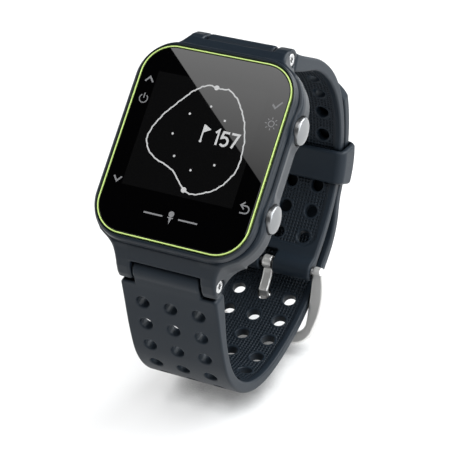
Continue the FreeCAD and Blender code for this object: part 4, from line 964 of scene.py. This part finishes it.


# pale floor material carrying a painted contact shadow
def plain(name, color, rough):
    m = bpy.data.materials.new(name)
    m.use_nodes = True
    nt = m.node_tree
    b = nt.nodes["Principled BSDF"]
    b.inputs["Roughness"].default_value = rough
    b.inputs["Specular IOR Level"].default_value = 0.1
    n = nt.nodes.new("ShaderNodeTexNoise")
    n.inputs["Scale"].default_value = 6.0
    mix = nt.nodes.new("ShaderNodeMix")
    mix.data_type = "RGBA"
    mix.inputs[6].default_value = (*[c * 0.995 for c in color], 1)
    mix.inputs[7].default_value = (*color, 1)
    nt.links.new(n.outputs["Fac"], mix.inputs[0])
    # painted contact shadow: ambient occlusion darkens the floor's colour and glow near whatever stands on it
    ao = nt.nodes.new("ShaderNodeAmbientOcclusion")
    ao.inputs["Distance"].default_value = 0.0085
    near = nt.nodes.new("ShaderNodeMapRange")
    near.interpolation_type = "SMOOTHSTEP"
    near.inputs["From Min"].default_value = 0.32
    near.inputs["From Max"].default_value = 0.86
    near.inputs["To Min"].default_value = 0.10
    nt.links.new(ao.outputs["AO"], near.inputs["Value"])
    painted_shadow_mix = nt.nodes.new("ShaderNodeMix")
    painted_shadow_mix.data_type = "RGBA"
    painted_shadow_mix.inputs[6].default_value = (0.02, 0.022, 0.024, 1)
    nt.links.new(near.outputs[0], painted_shadow_mix.inputs[0])
    nt.links.new(mix.outputs[2], painted_shadow_mix.inputs[7])
    nt.links.new(painted_shadow_mix.outputs[2], b.inputs["Base Color"])
    # the far floor runs into the white backdrop
    where, away, far = (nt.nodes.new("ShaderNodeTexCoord"), nt.nodes.new("ShaderNodeVectorMath"),
                        nt.nodes.new("ShaderNodeMapRange"))
    away.operation = "LENGTH"
    nt.links.new(where.outputs["Object"], away.inputs[0])
    nt.links.new(away.outputs["Value"], far.inputs["Value"])
    far.inputs["From Min"].default_value = 0.20
    far.inputs["From Max"].default_value = 1.10
    far.inputs["To Min"].default_value = 0.50
    far.inputs["To Max"].default_value = 0.98
    glow = nt.nodes.new("ShaderNodeMath")
    glow.operation = "MULTIPLY"
    nt.links.new(near.outputs[0], glow.inputs[0])
    nt.links.new(far.outputs[0], glow.inputs[1])
    b.inputs["Emission Color"].default_value = (1, 1, 1, 1)
    nt.links.new(glow.outputs[0], b.inputs["Emission Strength"])
    return m


fm = bpy.data.meshes.new("floor")
fm.from_pydata([(-6, -6, 0), (6, -6, 0), (6, 6, 0), (-6, 6, 0)], [], [(0, 1, 2, 3)])
floor = bpy.data.objects.new("floor", fm)
floor.data.materials.append(plain("floor_pale", (0.38, 0.38, 0.38), 0.8))
scene.collection.objects.link(floor)

world = bpy.data.worlds.new("studio")
scene.world = world
world.use_nodes = True
nt = world.node_tree
nt.nodes.clear()
N, L = nt.nodes.new, nt.links.new
out, bg = N("ShaderNodeOutputWorld"), N("ShaderNodeBackground")
L(bg.outputs[0], out.inputs[0])
lp, tc, sep = N("ShaderNodeLightPath"), N("ShaderNodeTexCoord"), N("ShaderNodeSeparateXYZ")
L(tc.outputs["Generated"], sep.inputs[0])
horizon = N("ShaderNodeMapRange")
horizon.inputs["From Min"].default_value = 0.10
horizon.inputs["From Max"].default_value = 0.50
horizon.inputs["To Min"].default_value = 0.24
horizon.inputs["To Max"].default_value = 0.015
L(sep.outputs["Z"], horizon.inputs["Value"])
m1, m2 = N("ShaderNodeMix"), N("ShaderNodeMix")
m1.data_type = m2.data_type = "FLOAT"
L(lp.outputs["Is Glossy Ray"], m1.inputs[0])
soft = N("ShaderNodeMapRange")
soft.inputs["From Min"].default_value = 0.0
soft.inputs["From Max"].default_value = 1.0
soft.inputs["To Min"].default_value = 0.06
soft.inputs["To Max"].default_value = 1.10
L(sep.outputs["Z"], soft.inputs["Value"])
L(soft.outputs[0], m1.inputs[2])
L(horizon.outputs[0], m1.inputs[3])
L(lp.outputs["Is Camera Ray"], m2.inputs[0])
L(m1.outputs[0], m2.inputs[2])
m2.inputs[3].default_value = 1.0
L(m2.outputs[0], bg.inputs["Strength"])
bg.inputs["Color"].default_value = (1, 1, 1, 1)

target = Vector((0.0, 0.0, 0.04))


def area(name, loc, size, power, color=(1, 1, 1), size_y=None, at=target):
    d = bpy.data.lights.new(name, "AREA")
    d.energy, d.color = power, color
    d.shape = "RECTANGLE"
    d.size, d.size_y = size, size_y or size
    o = bpy.data.objects.new(name, d)
    o.location = loc
    o.rotation_mode = "QUATERNION"
    o.rotation_quaternion = (at - Vector(loc)).to_track_quat("-Z", "Y")
    scene.collection.objects.link(o)
    return o


area("overhead", (0.14, -0.34, 1.1), 0.8, 7.0)
area("front_left", (-0.85, -0.45, 0.34), 0.4, 1.2, (0.93, 0.97, 1.0))
area("right_side", (0.95, -0.10, 0.50), 0.90, 8.8, (0.93, 0.97, 1.0))
area("right_high", (0.70, 0.35, 0.75), 0.75, 9.0, (0.95, 0.98, 1.0))
area("back_right", (0.55, 0.80, 0.55), 0.6, 6.6, (0.93, 0.97, 1.0))

# reflector card whose image crosses the lens: its outline is set out on the lens plane and carried
# through the mirrored camera to a plane well above the dial
EYE = np.array([139.614, -78.893, 309.671])
CARD_Z = 420.0
GAIN = (CARD_Z + EYE[2]) / EYE[2]


def on_card(x, y):
    return (EYE[0] + (x - EYE[0]) * GAIN, EYE[1] + (y - EYE[1]) * GAIN)


edge = [(-13.0, 20.85), (16.9, -4.45)]
dx, dy = edge[1][0] - edge[0][0], edge[1][1] - edge[0][1]
card = [(edge[0][0] - 0.9 * dx, edge[0][1] - 0.9 * dy), (edge[1][0] + 0.6 * dx, edge[1][1] + 0.6 * dy),
        (75, 5), (60, 80), (5, 75)]
cm = bpy.data.meshes.new("reflector_card")
cm.from_pydata([(on_card(*q)[0] / 1000, on_card(*q)[1] / 1000, 0) for q in card], [], [tuple(range(len(card)))])
co = bpy.data.objects.new("reflector_card", cm)
c0 = to_row(np.array([[0, 0, CARD_Z]]))[0]
co.matrix_world = Matrix.Translation(Vector([float(q) for q in c0])) @ Matrix.Rotation(math.atan2(SA, CA), 4, "X")
mt = bpy.data.materials.new("card_glow")
mt.use_nodes = True
nt = mt.node_tree
nt.nodes.clear()
N, L = nt.nodes.new, nt.links.new
out, em, tc, sep, mr = (N("ShaderNodeOutputMaterial"), N("ShaderNodeEmission"), N("ShaderNodeTexCoord"),
                        N("ShaderNodeSeparateXYZ"), N("ShaderNodeMapRange"))
L(em.outputs[0], out.inputs[0])
L(tc.outputs["Object"], sep.inputs[0])
L(sep.outputs["Y"], mr.inputs["Value"])
mr.inputs["From Min"].default_value = on_card(0, -6)[1] / 1000
mr.inputs["From Max"].default_value = on_card(0, 22)[1] / 1000
mr.inputs["To Min"].default_value = 1.3
mr.inputs["To Max"].default_value = 5.2
# a grid on the card keeps its light to one narrow direction, so the lens stays dark from every other side
gm, dot, grid, amount = (N("ShaderNodeNewGeometry"), N("ShaderNodeVectorMath"), N("ShaderNodeMapRange"), N("ShaderNodeMath"))
dot.operation = "DOT_PRODUCT"
dot.inputs[1].default_value = tuple(-turn((-0.374467, 0.189715, 0.907625)))
L(gm.outputs["Incoming"], dot.inputs[0])
grid.interpolation_type = "SMOOTHSTEP"
grid.inputs["From Min"].default_value = 0.9860
grid.inputs["From Max"].default_value = 0.9935
L(dot.outputs["Value"], grid.inputs["Value"])
amount.operation = "MULTIPLY"
L(mr.outputs[0], amount.inputs[0])
L(grid.outputs[0], amount.inputs[1])
L(amount.outputs[0], em.inputs["Strength"])
cm.materials.append(mt)
scene.collection.objects.link(co)
co.visible_camera = False
co.visible_diffuse = False
co.visible_shadow = False
co.visible_transmission = False

cam_data = bpy.data.cameras.new("camera")
cam_data.lens, cam_data.sensor_width = 136.0, 36.0
cam_data.clip_start, cam_data.clip_end = 0.01, 20.0
cam = bpy.data.objects.new("camera", cam_data)
right = turn((0.902514, 0.299117, -0.309836))
down = turn((0.212706, -0.935167, -0.28323))
fwd = turn((-0.374467, 0.189715, -0.907625))
eye = Vector([float(q) for q in to_row(EYE[None, :])[0]])
rot = Matrix((right, -down, -fwd)).transposed().to_4x4()
cam.matrix_world = Matrix.Translation(eye) @ rot
scene.collection.objects.link(cam)
scene.camera = cam
